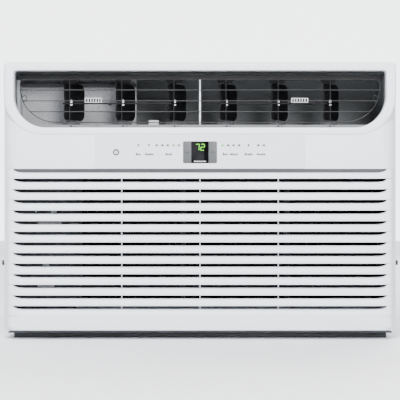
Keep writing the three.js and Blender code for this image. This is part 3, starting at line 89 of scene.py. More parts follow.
# ------------------------------------------------------------------ finishes
class Nodes:
    """A new material's node tree, with short ways to add what the finishes share."""

    def __init__(self, name: str) -> None:
        """Starts a material that holds one Principled shader.

        Args:
            name: The material's name.
        """
        self.material = bpy.data.materials.new(name)
        self.material.use_nodes = True
        self.tree = self.material.node_tree
        self.shader = self.tree.nodes["Principled BSDF"]
        self.coords = self.tree.nodes.new("ShaderNodeTexCoord").outputs["Object"]

    def link(self, source: Socket, target: Socket) -> None:
        """Joins an output to an input."""
        self.tree.links.new(source, target)

    def noise(self, scale: float, detail: float = 4.0, stretch: Point = (1, 1, 1)) -> Socket:
        """Adds noise on object coordinates.

        Args:
            scale: Cells per metre.
            detail: Octaves.
            stretch: Scale along each axis, for grain that runs one way.

        Returns:
            The noise value.
        """
        mapping = self.tree.nodes.new("ShaderNodeMapping")
        mapping.inputs["Scale"].default_value = stretch
        self.link(self.coords, mapping.inputs["Vector"])
        noise = self.tree.nodes.new("ShaderNodeTexNoise")
        noise.inputs["Scale"].default_value = scale
        noise.inputs["Detail"].default_value = detail
        self.link(mapping.outputs["Vector"], noise.inputs["Vector"])
        return noise.outputs["Fac"]

    def bands(self, pitch: float, axis: Axis) -> Socket:
        """Adds a sine wave along an axis.

        Args:
            pitch: Metres from one band to the next.
            axis: The axis that the bands follow each other along.

        Returns:
            The wave's value.
        """
        wave = self.tree.nodes.new("ShaderNodeTexWave")
        wave.bands_direction = axis.name
        wave.inputs["Scale"].default_value = math.pi / (10 * pitch)
        self.link(self.coords, wave.inputs["Vector"])
        return wave.outputs["Fac"]

    def ramp(self, value: Socket, dark: Colour, light: Colour, low: float = 0.3, high: float = 0.7) -> Socket:
        """Turns a value into a colour between two others.

        Args:
            value: What is read.
            dark: The colour at and under low.
            light: The colour at and over high.
            low: Where the change starts.
            high: Where it ends.

        Returns:
            The colour.
        """
        node = self.tree.nodes.new("ShaderNodeValToRGB")
        node.color_ramp.elements[0].position = low
        node.color_ramp.elements[0].color = (*dark, 1)
        node.color_ramp.elements[1].position = high
        node.color_ramp.elements[1].color = (*light, 1)
        self.link(value, node.inputs["Fac"])
        return node.outputs["Color"]

    def spread(self, value: Socket, low: float, high: float) -> Socket:
        """Maps a 0 to 1 value onto a range, clamped."""
        node = self.tree.nodes.new("ShaderNodeMapRange")
        node.inputs["From Min"].default_value = 0.25
        node.inputs["From Max"].default_value = 0.75
        node.inputs["To Min"].default_value = low
        node.inputs["To Max"].default_value = high
        self.link(value, node.inputs["Value"])
        return node.outputs["Result"]

    def bump(self, height: Socket, strength: float, distance: float, under: Socket | None = None) -> Socket:
        """Adds relief.

        Args:
            height: The relief's height, 0 to 1.
            strength: How much of it shows.
            distance: Its full depth in metres.
            under: Another relief that this one lies on.

        Returns:
            The bumped normal.
        """
        node = self.tree.nodes.new("ShaderNodeBump")
        node.inputs["Strength"].default_value = strength
        node.inputs["Distance"].default_value = distance
        self.link(height, node.inputs["Height"])
        if under is not None:
            self.link(under, node.inputs["Normal"])
        return node.outputs["Normal"]


def shade(colour: Colour, factor: float) -> Colour:
    """A colour made darker or lighter by a factor, kept within 0 to 1."""
    return tuple(min(1.0, channel * factor) for channel in colour)


@dataclass(frozen=True)
class Finish:
    """A plain moulded or painted surface: cloudy colour, uneven gloss and a fine relief."""

    name: str
    slot: str
    colour: Colour
    roughness: float = 0.45
    metallic: float = 0.0
    cloud: float = 0.05
    cloud_scale: float = 18.0
    gloss_spread: float = 0.06
    grain_scale: float = 1400.0
    grain_depth: float = 0.00004
    grain_strength: float = 0.35
    stretch: Point = (1, 1, 1)
    specular: float = 0.3

    def dress(self, nodes: Nodes) -> None:
        """Adds what a finish of a more special kind needs; nothing here.

        Args:
            nodes: The material's nodes.
        """

    def material(self) -> bpy.types.Material:
        """Builds the material once and hands it out again after that.

        Returns:
            The material.
        """
        known = bpy.data.materials.get(self.name)
        if known is not None:
            return known
        nodes = Nodes(self.name)
        cloud = nodes.noise(self.cloud_scale, 6.0)
        dark = shade(self.colour, 1 - self.cloud)
        colour = nodes.ramp(cloud, dark, shade(self.colour, 1 + self.cloud))
        nodes.link(colour, nodes.shader.inputs["Base Color"])
        smear = nodes.noise(self.cloud_scale * 3.1, 5.0, self.stretch)
        low, high = self.roughness - self.gloss_spread, self.roughness + self.gloss_spread
        nodes.link(nodes.spread(smear, low, high), nodes.shader.inputs["Roughness"])
        grain = nodes.noise(self.grain_scale, 2.0, self.stretch)
        normal = nodes.bump(grain, self.grain_strength, self.grain_depth)
        nodes.link(normal, nodes.shader.inputs["Normal"])
        nodes.shader.inputs["Metallic"].default_value = self.metallic
        nodes.shader.inputs["Specular IOR Level"].default_value = self.specular
        self.dress(nodes)
        return nodes.material


@dataclass(frozen=True)
class PaintedSheet(Finish):
    """Powder-coated sheet steel, with the coat's slow orange peel over its grain."""

    peel_scale: float = 320.0
    peel_depth: float = 0.00012

    def dress(self, nodes: Nodes) -> None:
        """Adds the orange peel and a clear top gloss.

        Args:
            nodes: The material's nodes.
        """
        grain = nodes.shader.inputs["Normal"].links[0].from_socket
        peel = nodes.noise(self.peel_scale, 1.0)
        nodes.link(nodes.bump(peel, 0.3, self.peel_depth, grain), nodes.shader.inputs["Normal"])
        nodes.shader.inputs["Coat Weight"].default_value = 0.2
        nodes.shader.inputs["Coat Roughness"].default_value = 0.3


@dataclass(frozen=True)
class SpangledSteel(Finish):
    """Galvanised steel: flakes of zinc, each a little lighter or darker than the next."""

    flake_scale: float = 70.0

    def dress(self, nodes: Nodes) -> None:
        """Swaps the cloudy colour for flakes.

        Args:
            nodes: The material's nodes.
        """
        flakes = nodes.tree.nodes.new("ShaderNodeTexVoronoi")
        flakes.inputs["Scale"].default_value = self.flake_scale
        nodes.link(nodes.coords, flakes.inputs["Vector"])
        grey = nodes.tree.nodes.new("ShaderNodeRGBToBW")
        nodes.link(flakes.outputs["Color"], grey.inputs["Color"])
        colour = nodes.ramp(grey.outputs["Val"], shade(self.colour, 0.82), shade(self.colour, 1.15))
        nodes.link(colour, nodes.shader.inputs["Base Color"])


@dataclass(frozen=True)
class WovenMesh(Finish):
    """A fine two-way net of dark threads."""

    thread: float = 0.0016

    def dress(self, nodes: Nodes) -> None:
        """Adds the threads' colour and relief.

        Args:
            nodes: The material's nodes.
        """
        across = nodes.bands(self.thread, Axis.X)
        along = nodes.bands(self.thread, Axis.Z)
        weave = nodes.tree.nodes.new("ShaderNodeMath")
        weave.operation = "MAXIMUM"
        nodes.link(across, weave.inputs[0])
        nodes.link(along, weave.inputs[1])
        value = weave.outputs["Value"]
        nodes.link(
            nodes.ramp(value, shade(self.colour, 0.25), shade(self.colour, 1.6)),
            nodes.shader.inputs["Base Color"]
        )
        nodes.link(nodes.bump(value, 0.8, 0.0005), nodes.shader.inputs["Normal"])


@dataclass(frozen=True)
class BeadedFoam(Finish):
    """Expanded foam, with its pressed beads showing."""

    bead_scale: float = 260.0

    def dress(self, nodes: Nodes) -> None:
        """Adds the beads.

        Args:
            nodes: The material's nodes.
        """
        beads = nodes.tree.nodes.new("ShaderNodeTexVoronoi")
        beads.inputs["Scale"].default_value = self.bead_scale
        nodes.link(nodes.coords, beads.inputs["Vector"])
        distance = beads.outputs["Distance"]
        nodes.link(
            nodes.ramp(distance, shade(self.colour, 1.05), shade(self.colour, 0.86), 0.2, 0.9),
            nodes.shader.inputs["Base Color"]
        )
        nodes.link(nodes.bump(distance, 0.5, -0.0006), nodes.shader.inputs["Normal"])


@dataclass(frozen=True)
class GlowMark(Finish):
    """A lit mark of the display."""

    glow: float = 2.5

    def dress(self, nodes: Nodes) -> None:
        """Adds the light.

        Args:
            nodes: The material's nodes.
        """
        nodes.shader.inputs["Emission Color"].default_value = (*self.colour, 1)
        nodes.shader.inputs["Emission Strength"].default_value = self.glow


WHITE_PLASTIC = Finish(
    "white_panel_plastic", "panel_plastic", (0.80, 0.82, 0.86), 0.42, cloud=0.012, grain_scale=900
)
FILM = Finish(
    "keypad_film", "overlay_film", (0.70, 0.72, 0.755), 0.36, cloud=0.01, grain_scale=2200,
    grain_strength=0.2
)
SCREEN = Finish(
    "display_screen", "display_glass", (0.002, 0.002, 0.0025), 0.12, cloud=0.1, grain_strength=0.02,
    specular=0.15
)
KEY_GREY = Finish("key_grey", "key_plastic", (0.080, 0.083, 0.088), 0.45, cloud=0.03)
INK = Finish("grey_ink", "key_plastic", (0.006, 0.006, 0.007), 0.6, cloud=0.05)
PALE_INK = Finish("pale_ink", "overlay_film", (0.7, 0.72, 0.74), 0.5, cloud=0.05)
DARK_DOT = Finish("lamp_lens_dark", "key_plastic", (0.003, 0.003, 0.003), 0.5, cloud=0.05)
GREEN_DOT = GlowMark("lamp_lens_green", "overlay_film", (0.05, 0.45, 0.02), 0.3, glow=0.12)
DIGIT = GlowMark("display_digit", "display_glass", (0.10, 0.50, 0.012), 0.3, glow=0.38)
BLACK_PLASTIC = Finish(
    "black_vane_plastic", "vane_plastic", (0.0035, 0.0035, 0.004), 0.5, cloud=0.15, grain_scale=1100,
    specular=0.18
)
DARK_PLASTIC = Finish(
    "dark_plastic", "dark_plastic", (0.007, 0.0072, 0.008), 0.6, cloud=0.15, grain_scale=800
)
# Near-black duct plastic: its darkness is painted shade of the duct's deep back wall.
DUCT_SHADE_PLASTIC = Finish(
    "duct_plastic", "duct_plastic", (0.0105, 0.0108, 0.0116), 0.65, cloud=0.12, grain_scale=700
)
GRIP_PLASTIC = Finish("grip_plastic", "grip_plastic", (0.30, 0.31, 0.325), 0.5, cloud=0.04)
LINER_FOAM = BeadedFoam("duct_foam", "foam_tray", (0.56, 0.57, 0.59), 0.85, cloud=0.03)
TRAY_FOAM = BeadedFoam("tray_foam", "foam_tray", (0.60, 0.62, 0.64), 0.85, cloud=0.03)
GUARD_PAINT = PaintedSheet("guard_wire_paint", "guard_wire", (0.008, 0.0082, 0.009), 0.5, cloud=0.1)
CABINET_PAINT = PaintedSheet("cabinet_paint", "cabinet_paint", (0.52, 0.53, 0.55), 0.42, cloud=0.02)
# Light cabinet paint darkened to mid grey for the sleeve floor: painted shade.
BASE_SHADE_PAINT = PaintedSheet("base_paint", "cabinet_paint", (0.12, 0.123, 0.13), 0.5, cloud=0.05)
RAIL_PAINT = PaintedSheet("rail_paint", "rail_paint", (0.012, 0.0124, 0.0136), 0.5, cloud=0.1)
BLACK_ENAMEL = PaintedSheet("compressor_enamel", "compressor_paint", (0.014, 0.014, 0.016), 0.32, cloud=0.2)
SCREW_BLACK = Finish("screw_black", "screw_black", (0.02, 0.02, 0.022), 0.35, 0.6, cloud=0.15)
ZINC = SpangledSteel("galvanised_steel", "galvanised_steel", (0.46, 0.47, 0.49), 0.42, 0.85, gloss_spread=0.1)
SHAFT_STEEL = Finish("ground_steel", "galvanised_steel", (0.55, 0.55, 0.57), 0.25, 1.0, stretch=(1, 0.05, 1))
FIN_METAL = Finish(
    "fin_aluminium", "coil_aluminium", (0.62, 0.63, 0.65), 0.36, 0.9, cloud=0.06, stretch=(1, 1, 0.1)
)
CAN_METAL = Finish("can_aluminium", "coil_aluminium", (0.66, 0.67, 0.69), 0.3, 1.0, stretch=(1, 1, 0.08))
COPPER = Finish("copper", "copper_tube", (0.72, 0.33, 0.17), 0.32, 1.0, cloud=0.15, cloud_scale=60)
BOARD = Finish("board_laminate", "board_laminate", (0.03, 0.13, 0.06), 0.4, cloud=0.2, cloud_scale=200)
RUBBER = Finish("black_rubber", "rubber_bush", (0.012, 0.012, 0.012), 0.8, cloud=0.2, grain_scale=500)
NOTE_INK = Finish("pale_grey_ink", "key_plastic", (0.16, 0.165, 0.175), 0.5, cloud=0.05)
# A slightly lighter black patch with a slanted edge on the display: painted reflection.
SCREEN_PAINTED_REFLECTION = Finish(
    "display_shine", "display_glass", (0.006, 0.0062, 0.0075), 0.2, cloud=0.1, grain_strength=0.02
)
PIN_WHITE = Finish("bright_pin_plastic", "vane_plastic", (0.70, 0.71, 0.72), 0.3, cloud=0.03)
FLARE_GREY = Finish("pale_grey_plastic", "duct_plastic", (0.20, 0.205, 0.215), 0.5, cloud=0.06)
RAIL_GREY = Finish(
    "rail_grey_plastic", "dark_plastic", (0.0085, 0.0088, 0.0094), 0.6, cloud=0.1, grain_scale=700
)
# Dark grey strip along the top of the foam lining: painted shade.
LEDGE_PAINTED_SHADE = Finish("duct_ledge_plastic", "duct_plastic", (0.05, 0.051, 0.054), 0.6, cloud=0.1)
DARK_FLARE = Finish("vane_flare_plastic", "vane_plastic", (0.040, 0.041, 0.044), 0.5, cloud=0.08)
# Mid grey for the closed back of the top slot: painted shade on white panel plastic.
BLIND_SLOT_SHADE = Finish("blind_slot_plastic", "panel_plastic", (0.09, 0.092, 0.097), 0.5, cloud=0.04)
# White channel plastic coloured mid grey: painted shade behind the intake slots.
GUIDE_SHADE_PLASTIC = Finish("filter_guide_plastic", "panel_plastic", (0.30, 0.31, 0.32), 0.5, cloud=0.04)
PLATE_GREY = SpangledSteel(
    "shaded_steel", "galvanised_steel", (0.055, 0.057, 0.062), 0.5, 0.3, gloss_spread=0.1
)
# Dark box inside the fin stack: painted shade in the depth between the fins.
CORE_SHADE = Finish(
    "coil_core", "coil_aluminium", (0.05, 0.051, 0.054), 0.6, 0.4, cloud=0.1, stretch=(1, 1, 0.1)
)
FAN_PLASTIC = Finish("fan_plastic", "dark_plastic", (0.014, 0.0145, 0.016), 0.5, cloud=0.12, grain_scale=600)
BLACK_ENAMEL_MOTOR = PaintedSheet(
    "motor_enamel", "galvanised_steel", (0.05, 0.052, 0.056), 0.4, 0.3, cloud=0.1
)
NET = WovenMesh("filter_net", "filter_mesh", (0.004, 0.004, 0.0045), 0.9, specular=0.05)


# ------------------------------------------------------------------ hand tools
def along(axis: Axis, place: Callable[[Vector], bool] = lambda _co: True) -> Test:
    """Accepts edges that run along an axis, or faces across it, where a place test holds.

    Args:
        axis: The axis.
        place: Reads the element's middle.

    Returns:
        The test.
    """
    return lambda co, run: abs(run[axis.value]) > 0.9 and place(co)


class Bench:
    """Modelling operations, each of which leaves one object active and in object mode."""

    @staticmethod
    def clear() -> None:
        """Leaves edit mode and deselects everything."""
        if bpy.context.object is not None and bpy.context.object.mode != "OBJECT":
            bpy.ops.object.mode_set(mode="OBJECT")
        bpy.ops.object.select_all(action="DESELECT")

    @staticmethod
    def only(piece: Piece) -> None:
        """Selects one object alone and makes it active."""
        Bench.clear()
        piece.select_set(True)
        bpy.context.view_layer.objects.active = piece

    @staticmethod
    def settle(name: str) -> Piece:
        """Names the active object and puts its place into its mesh.

        Args:
            name: The object's and mesh's name.

        Returns:
            The object.
        """
        piece = bpy.context.object
        bpy.ops.object.transform_apply(location=True, rotation=True, scale=True)
        piece.name = name
        piece.data.name = name
        return piece

    @staticmethod
    def cuboid(name: str, lo: Sequence[float], hi: Sequence[float]) -> Piece:
        """Adds a box between two corners."""
        Bench.clear()
        middle = [(a + b) / 2 for a, b in zip(lo, hi)]
        bpy.ops.mesh.primitive_cube_add(size=1, location=middle)
        bpy.context.object.scale = [b - a for a, b in zip(lo, hi)]
        return Bench.settle(name)

    @staticmethod
    def drum(
        name: str, centre: Point, radius: float, length: float, axis: Axis = Axis.Z, sides: int = 32
    ) -> Piece:
        """Adds a cylinder about its middle, along an axis."""
        Bench.clear()
        bpy.ops.mesh.primitive_cylinder_add(
            vertices=sides, radius=radius, depth=length, location=centre, rotation=axis.tilt()
        )
        return Bench.settle(name)

    @staticmethod
    def ring(
        name: str, centre: Point, radius: float, wire: float, axis: Axis = Axis.Y, sides: int = 32
    ) -> Piece:
        """Adds a round ring about an axis."""
        Bench.clear()
        bpy.ops.mesh.primitive_torus_add(
            major_radius=radius, minor_radius=wire, major_segments=sides, minor_segments=8,
            location=centre, rotation=axis.tilt()
        )
        return Bench.settle(name)

    @staticmethod
    def pick(piece: Piece, kind: Kind, test: Test) -> int:
        """Enters edit mode and selects what a test accepts.

        Args:
            piece: The object to edit.
            kind: Vertices, edges or faces.
            test: Reads an element's middle and its direction: a face's normal, an edge's run or a
                vertex's normal.

        Returns:
            How many were selected.
        """
        Bench.only(piece)
        bpy.ops.object.mode_set(mode="EDIT")
        bpy.ops.mesh.select_mode(type=kind.value)
        bpy.ops.mesh.select_all(action="DESELECT")
        mesh = bmesh.from_edit_mesh(piece.data)
        if kind is Kind.FACE:
            known = [(face, face.calc_center_median(), face.normal) for face in mesh.faces]
        elif kind is Kind.EDGE:
            known = []
            for edge in mesh.edges:
                start, end = (vert.co for vert in edge.verts)
                known.append((edge, (start + end) / 2, (end - start).normalized()))
        else:
            known = [(vert, vert.co, vert.normal) for vert in mesh.verts]
        chosen = [element for element, middle, direction in known if test(middle, direction)]
        for element in chosen:
            element.select_set(True)
        bmesh.update_edit_mesh(piece.data)
        return len(chosen)

    @staticmethod
    def done() -> None:
        """Leaves edit mode."""
        bpy.ops.object.mode_set(mode="OBJECT")

    @staticmethod
    def bevel(piece: Piece, test: Test, width: float, segments: int = 3, kind: Kind = Kind.EDGE) -> None:
        """Rounds the edges, or the corners of a flat face, that a test accepts."""
        if Bench.pick(piece, kind, test):
            affect = "VERTICES" if kind is Kind.VERT else "EDGES"
            bpy.ops.mesh.bevel(offset=width, segments=segments, affect=affect, clamp_overlap=True)
        Bench.done()

    @staticmethod
    def soften(piece: Piece, width: float, segments: int = 2, angle: float = 40) -> Piece:
        """Rounds every sharp edge with an applied bevel modifier.

        Args:
            piece: The object.
            width: The bevel's width.
            segments: Its steps.
            angle: Edges sharper than this many degrees are rounded.

        Returns:
            The object.
        """
        limit = math.radians(angle)
        return Bench.apply(
            piece, "BEVEL", width=width, segments=segments, limit_method="ANGLE", angle_limit=limit
        )

    @staticmethod
    def extrude(piece: Piece, test: Test, move: Sequence[float]) -> None:
        """Draws the faces that a test accepts out by a move."""
        Bench.pick(piece, Kind.FACE, test)
        bpy.ops.mesh.extrude_region_move(TRANSFORM_OT_translate={"value": tuple(move)})
        Bench.done()

    @staticmethod
    def boolean(piece: Piece, tool: Piece, operation: str = "DIFFERENCE") -> Piece:
        """Cuts, joins or keeps the overlap with a tool, and deletes the tool."""
        Bench.apply(
            piece, "BOOLEAN", operation=operation, solver="EXACT", use_self=True, object=tool
        )
        bpy.data.objects.remove(tool, do_unlink=True)
        return piece

    @staticmethod
    def copies(piece: Piece, moves: Iterable[Sequence[float]]) -> list[Piece]:
        """Copies a piece to each move from its place, each copy with its own mesh.

        Args:
            piece: The object, which stays where it is.
            moves: How far each copy is moved.

        Returns:
            The copies.
        """
        made = []
        for move in moves:
            copy = piece.copy()
            copy.data = piece.data.copy()
            bpy.context.collection.objects.link(copy)
            copy.data.transform(Matrix.Translation(move))
            made.append(copy)
        return made

    @staticmethod
    def apply(piece: Piece, kind: str, **settings: object) -> Piece:
        """Adds a modifier with settings to a piece and applies it.

        Args:
            piece: The object.
            kind: The modifier's type.
            settings: Its values.

        Returns:
            The object.
        """
        Bench.only(piece)
        modifier = piece.modifiers.new("shape", kind)
        for key, value in settings.items():
            setattr(modifier, key, value)
        bpy.ops.object.modifier_apply(modifier=modifier.name)
        return piece

    @staticmethod
    def around(piece: Piece, count: int, centre: Point) -> list[Piece]:
        """Repeats a piece evenly about the Y axis through a centre; the piece comes first."""
        copies = Bench.copies(piece, [(0, 0, 0)] * (count - 1))
        for step, copy in enumerate(copies, 1):
            Bench.turn(copy, step * 360 / count, Axis.Y, centre)
        return [piece, *copies]

    @staticmethod
    def join(name: str, pieces: Sequence[Piece]) -> Piece:
        """Joins pieces into one object."""
        Bench.only(pieces[0])
        for piece in pieces:
            piece.select_set(True)
        if len(pieces) > 1:
            bpy.ops.object.join()
        return Bench.settle(name)

    @staticmethod
    def turn(piece: Piece, angle: float, axis: Axis, centre: Sequence[float]) -> Piece:
        """Turns a piece's mesh about a line parallel to an axis.

        Args:
            piece: The object.
            angle: Degrees, by the right-hand rule.
            axis: The line's direction.
            centre: A point on the line.

        Returns:
            The object.
        """
        there = Matrix.Translation(Vector(centre))
        piece.data.transform(there @ Matrix.Rotation(math.radians(angle), 4, axis.name) @ there.inverted())
        return piece

    @staticmethod
    def wire(
        name: str, points: Sequence[Point], radius: float, bend: float = 0.0, closed: bool = False,
        sides: int = 8
    ) -> Piece:
        """Makes a round wire or tube through points, its corners rounded, as a mesh.

        Args:
            name: The object's name.
            points: The corners.
            radius: The wire's radius.
            bend: The corners' radius.
            closed: Whether the wire joins up.
            sides: Sides of its section.

        Returns:
            The mesh object.
        """
        path = Bench.rounded(points, bend, closed)
        curve = bpy.data.curves.new(name, "CURVE")
        curve.dimensions = "3D"
        curve.bevel_depth = radius
        curve.bevel_resolution = max(0, sides // 2 - 2)
        curve.use_fill_caps = True
        spline = curve.splines.new("POLY")
        spline.points.add(len(path) - 1)
        for target, point in zip(spline.points, path):
            target.co = (*point, 1)
        spline.use_cyclic_u = closed
        piece = bpy.data.objects.new(name, curve)
        bpy.context.collection.objects.link(piece)
        Bench.only(piece)
        bpy.ops.object.convert(target="MESH")
        made = Bench.settle(name)
        return Bench.outward(made)

    @staticmethod
    def rounded(points: Sequence[Point], bend: float, closed: bool) -> list[Vector]:
        """Rounds a line's corners with short arcs.

        Args:
            points: The corners.
            bend: The radius, limited by half of each stretch.
            closed: Whether the line joins up.

        Returns:
            The points of the rounded line.
        """
        corners = [Vector(point) for point in points]
        count = len(corners)
        path: list[Vector] = []
        for index, corner in enumerate(corners):
            if bend <= 0 or (not closed and index in (0, count - 1)):
                path.append(corner)
                continue
            before = corners[index - 1] - corner
            after = corners[(index + 1) % count] - corner
            reach = min(bend, before.length / 2, after.length / 2)
            enter = corner + before.normalized() * reach
            leave = corner + after.normalized() * reach
            for step in range(7):
                t = step / 6
                path.append(enter * (1 - t) ** 2 + corner * 2 * t * (1 - t) + leave * t**2)
        return path

    @staticmethod
    def outward(piece: Piece) -> Piece:
        """Merges doubles and points every face outwards."""
        Bench.only(piece)
        bpy.ops.object.mode_set(mode="EDIT")
        bpy.ops.mesh.select_all(action="SELECT")
        bpy.ops.mesh.remove_doubles(threshold=1e-6)
        bpy.ops.mesh.normals_make_consistent(inside=False)
        bpy.ops.object.mode_set(mode="OBJECT")
        return piece

    @staticmethod
    def spun(
        name: str, profile: Sequence[tuple[float, float]], centre: Point, axis: Axis, steps: int = 48
    ) -> Piece:
        """Spins a profile about an axis through a centre.

        Args:
            name: The object's name.
            profile: Radius and distance along the axis from the centre, point by point; it closes
                on itself unless it starts and ends on the axis.
            centre: A point on the axis.
            axis: The axis's direction.
            steps: Steps of the full turn.

        Returns:
            The object.
        """
        Bench.clear()
        mesh = bpy.data.meshes.new(name)
        across, along = {
            Axis.X: (Vector((0, 0, 1)), Vector((1, 0, 0))),
            Axis.Y: (Vector((1, 0, 0)), Vector((0, 1, 0))),
            Axis.Z: (Vector((1, 0, 0)), Vector((0, 0, 1))),
        }[axis]
        points = [Vector(centre) + across * radius + along * shift for radius, shift in profile]
        on_axis = profile[0][0] == 0 and profile[-1][0] == 0
        edges = [(i, i + 1) for i in range(len(points) - 1)]
        if not on_axis:
            edges.append((len(points) - 1, 0))
        mesh.from_pydata(points, edges, [])
        piece = bpy.data.objects.new(name, mesh)
        bpy.context.collection.objects.link(piece)
        Bench.only(piece)
        bpy.ops.object.mode_set(mode="EDIT")
        bpy.ops.mesh.select_all(action="SELECT")
        bpy.ops.mesh.spin(steps=steps, angle=math.tau, center=centre, axis=along)
        bpy.ops.object.mode_set(mode="OBJECT")
        return Bench.outward(piece)

    @staticmethod
    def slab(name: str, lo: Point, hi: Point, radii: Sequence[float], segments: int = 14) -> Piece:
        """Makes an upright plate facing -Y with rounded corners.

        Args:
            name: The object's name.
            lo: Its lowest corner.
            hi: Its highest corner.
            radii: Corner radii: lower left, lower right, upper right, upper left.
            segments: Steps of each corner.

        Returns:
            The object.
        """
        Bench.clear()
        middle = ((lo[0] + hi[0]) / 2, hi[1], (lo[2] + hi[2]) / 2)
        bpy.ops.mesh.primitive_plane_add(size=1, location=middle, rotation=(math.pi / 2, 0, 0))
        bpy.context.object.scale = (hi[0] - lo[0], hi[2] - lo[2], 1)
        piece = Bench.settle(name)
        corners = [(lo[0], lo[2]), (hi[0], lo[2]), (hi[0], hi[2]), (lo[0], hi[2])]
        for (x, z), radius in zip(corners, radii):
            if radius > 0:
                at = Vector((x, hi[1], z))
                near = lambda co, _normal, at=at: (co - at).length < 1e-5
                Bench.bevel(piece, near, radius, segments, Kind.VERT)
        Bench.extrude(piece, lambda _co, _normal: True, (0, lo[1] - hi[1], 0))
        return Bench.outward(piece)

    @staticmethod
    def finish(
        piece: Piece, finish: Finish, body: Body | str, replaces: Sequence[str] = (), angle: float = 30
    ) -> Piece:
        """Dresses a piece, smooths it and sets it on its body.

        Args:
            piece: The object.
            finish: Its finish.
            body: The body it rides on.
            replaces: The frame's nodes that it stands for.
            angle: Faces that meet at less than this many degrees are shaded smooth.

        Returns:
            The object.
        """
        piece.data.materials.clear()
        piece.data.materials.append(finish.material())
        Bench.only(piece)
        bpy.ops.object.shade_smooth_by_angle(angle=math.radians(angle))
        Bench.clear()
        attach(piece, body.value if isinstance(body, Body) else body)
        if replaces:
            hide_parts(*replaces)
        log.info("%s: %d faces", piece.name, len(piece.data.polygons))
        return piece


# ------------------------------------------------------------------ front panel
@dataclass
class FrontPanel:
    """The moulded front: raised outlet rim, thirteen scooped intake slots and the keypad's recess."""

    half: float = 0.3365
    face: float = -0.3345
    back: float = -0.2615
    bottom: float = 0.016
    top: float = 0.473
    wall: float = 0.003
    corner: float = 0.030
    rim_front: float = -0.3365
    outlet_half: float = 0.3175
    outlet: tuple[float, float] = (0.3615, 0.4595)
    outlet_radii: tuple[float, float, float, float] = (0.055, 0.055, 0.005, 0.005)
    slot_half: float = 0.3182
    first_slot: float = 0.272
    pitch: float = 0.01808
    slots: int = 13
    gap: float = 0.0056
    scoop: float = 0.0098
    fall: float = 0.0036
    sweep: float = 0.019
    block_depth: float = 0.0120
    ahead: float = -0.345
    rib_places: tuple[float, ...] = (-0.134, 0.0, 0.134)

    def shell(self, name: str, inset: float) -> Piece:
        """Makes the panel's outer form, or its hollow when inset by a wall.

        Args:
            name: The object's name.
            inset: How far every side but the back moves in.

        Returns:
            The solid form.
        """
        lo = (-self.half + inset, self.face + inset, self.bottom + inset)
        hi = (self.half - inset, self.back + (0.002 if inset else 0), self.top - inset)
        form = Bench.cuboid(name, lo, hi)
        Bench.bevel(form, along(Axis.Z, lambda co: co.y < lo[1] + 0.001), self.corner - inset, 16)
        edge = 0.0025 - inset / 4
        rounded = lambda co, run: abs(run.z) < 0.1 and co.y < hi[1] - 0.0005 and (
            co.z < lo[2] + 1e-4 or co.z > hi[2] - 1e-4
        )
        Bench.bevel(form, rounded, edge, 3)
        return form

    def scoop_cutter(self, top: float) -> Piece:
        """Makes the cutter of one slot: a straight top edge over a gap, its lower lip eased forward.

        Args:
            top: The height of the slot's sharp top edge.

        Returns:
            The cutter, its ends swept up to the top edge.
        """
        lip = top - self.gap
        back = self.face + self.block_depth
        reach = self.slot_half - self.sweep
        points = [(-0.340, top + self.fall), (self.face, top + self.fall), (self.face + 0.0008, top)]
        points += [(back + 0.004, top), (back + 0.004, lip), (back, lip)]
        for step in range(1, 9):
            angle = math.radians(90 * step / 8)
            y = back + 0.0002 - (self.block_depth + 0.0002) * math.sin(angle)
            points.append((y, lip - self.scoop * (1 - math.cos(angle))))
        points.append((-0.340, lip - self.scoop))
        mesh = bpy.data.meshes.new("scoop")
        mesh.from_pydata([(-reach, y, z) for y, z in points], [], [tuple(range(len(points)))])
        cutter = bpy.data.objects.new("scoop", mesh)
        bpy.context.collection.objects.link(cutter)
        Bench.extrude(cutter, lambda _co, _normal: True, (2 * reach, 0, 0))
        Bench.outward(cutter)
        for side in (-1, 1):
            previous = 1.0
            for step in range(1, 9):
                share = math.sin(math.radians(90 * step / 8))
                scale = max(0.03, math.sqrt(max(0.0, 1 - share**2)))
                before = math.sin(math.radians(90 * (step - 1) / 8))
                at = side * (reach + self.sweep * before)
                end = lambda co, normal, at=at: abs(co.x - at) < 1e-5 and abs(normal.x) > 0.9
                Bench.pick(cutter, Kind.FACE, end)
                move = (side * self.sweep * (share - before), 0, 0)
                bpy.ops.mesh.extrude_region_move(TRANSFORM_OT_translate={"value": move})
                centre = (at + move[0], self.face, top)
                bpy.ops.transform.resize(value=(1, 1, scale / previous), center_override=centre)
                Bench.done()
                previous = scale
        return cutter

    def crease_cutter(self, height: float, tall: float, deep: float) -> Piece:
        """Makes a band around the panel that cuts a shallow groove following its corners.

        Args:
            height: The groove's middle.
            tall: Its height.
            deep: Its depth.

        Returns:
            The cutter.
        """
        lo, hi = (-0.345, self.ahead, height - tall / 2), (0.345, self.back - 0.004, height + tall / 2)
        band = Bench.cuboid("crease", lo, hi)
        reach = self.half - deep
        core = Bench.cuboid("core", (-reach, self.face + deep, 0), (reach, self.back + 0.01, 0.5))
        upright = along(Axis.Z, lambda co: co.y < self.face + 0.002)
        Bench.bevel(core, upright, self.corner - deep, 16)
        return Bench.boolean(band, core)

    def rim(self) -> Piece:
        """Makes the raised rim that frames the outlet and lines its mouth."""
        lo = (-0.3342, self.rim_front, 0.3489)
        hi = (0.3342, self.rim_front + 0.025, 0.4717)
        ring = Bench.slab("rim", lo, hi, (0.066, 0.066, 0.006, 0.006), 20)
        front = lambda co, _run: co.y < self.rim_front + 1e-4
        Bench.bevel(ring, front, 0.0042, 5)
        lo, hi = (-self.outlet_half, -0.345, self.outlet[0]), (self.outlet_half, -0.29, self.outlet[1])
        Bench.boolean(ring, Bench.slab("hole", lo, hi, self.outlet_radii, 20))
        inner = lambda co, run: (
            co.y < self.rim_front + 1e-4 and abs(co.x) < self.outlet_half + 0.001 and abs(run.y) < 0.1
            and self.outlet[0] - 0.001 < co.z < self.outlet[1] + 0.001
        )
        Bench.bevel(ring, inner, 0.0012, 2)
        return ring

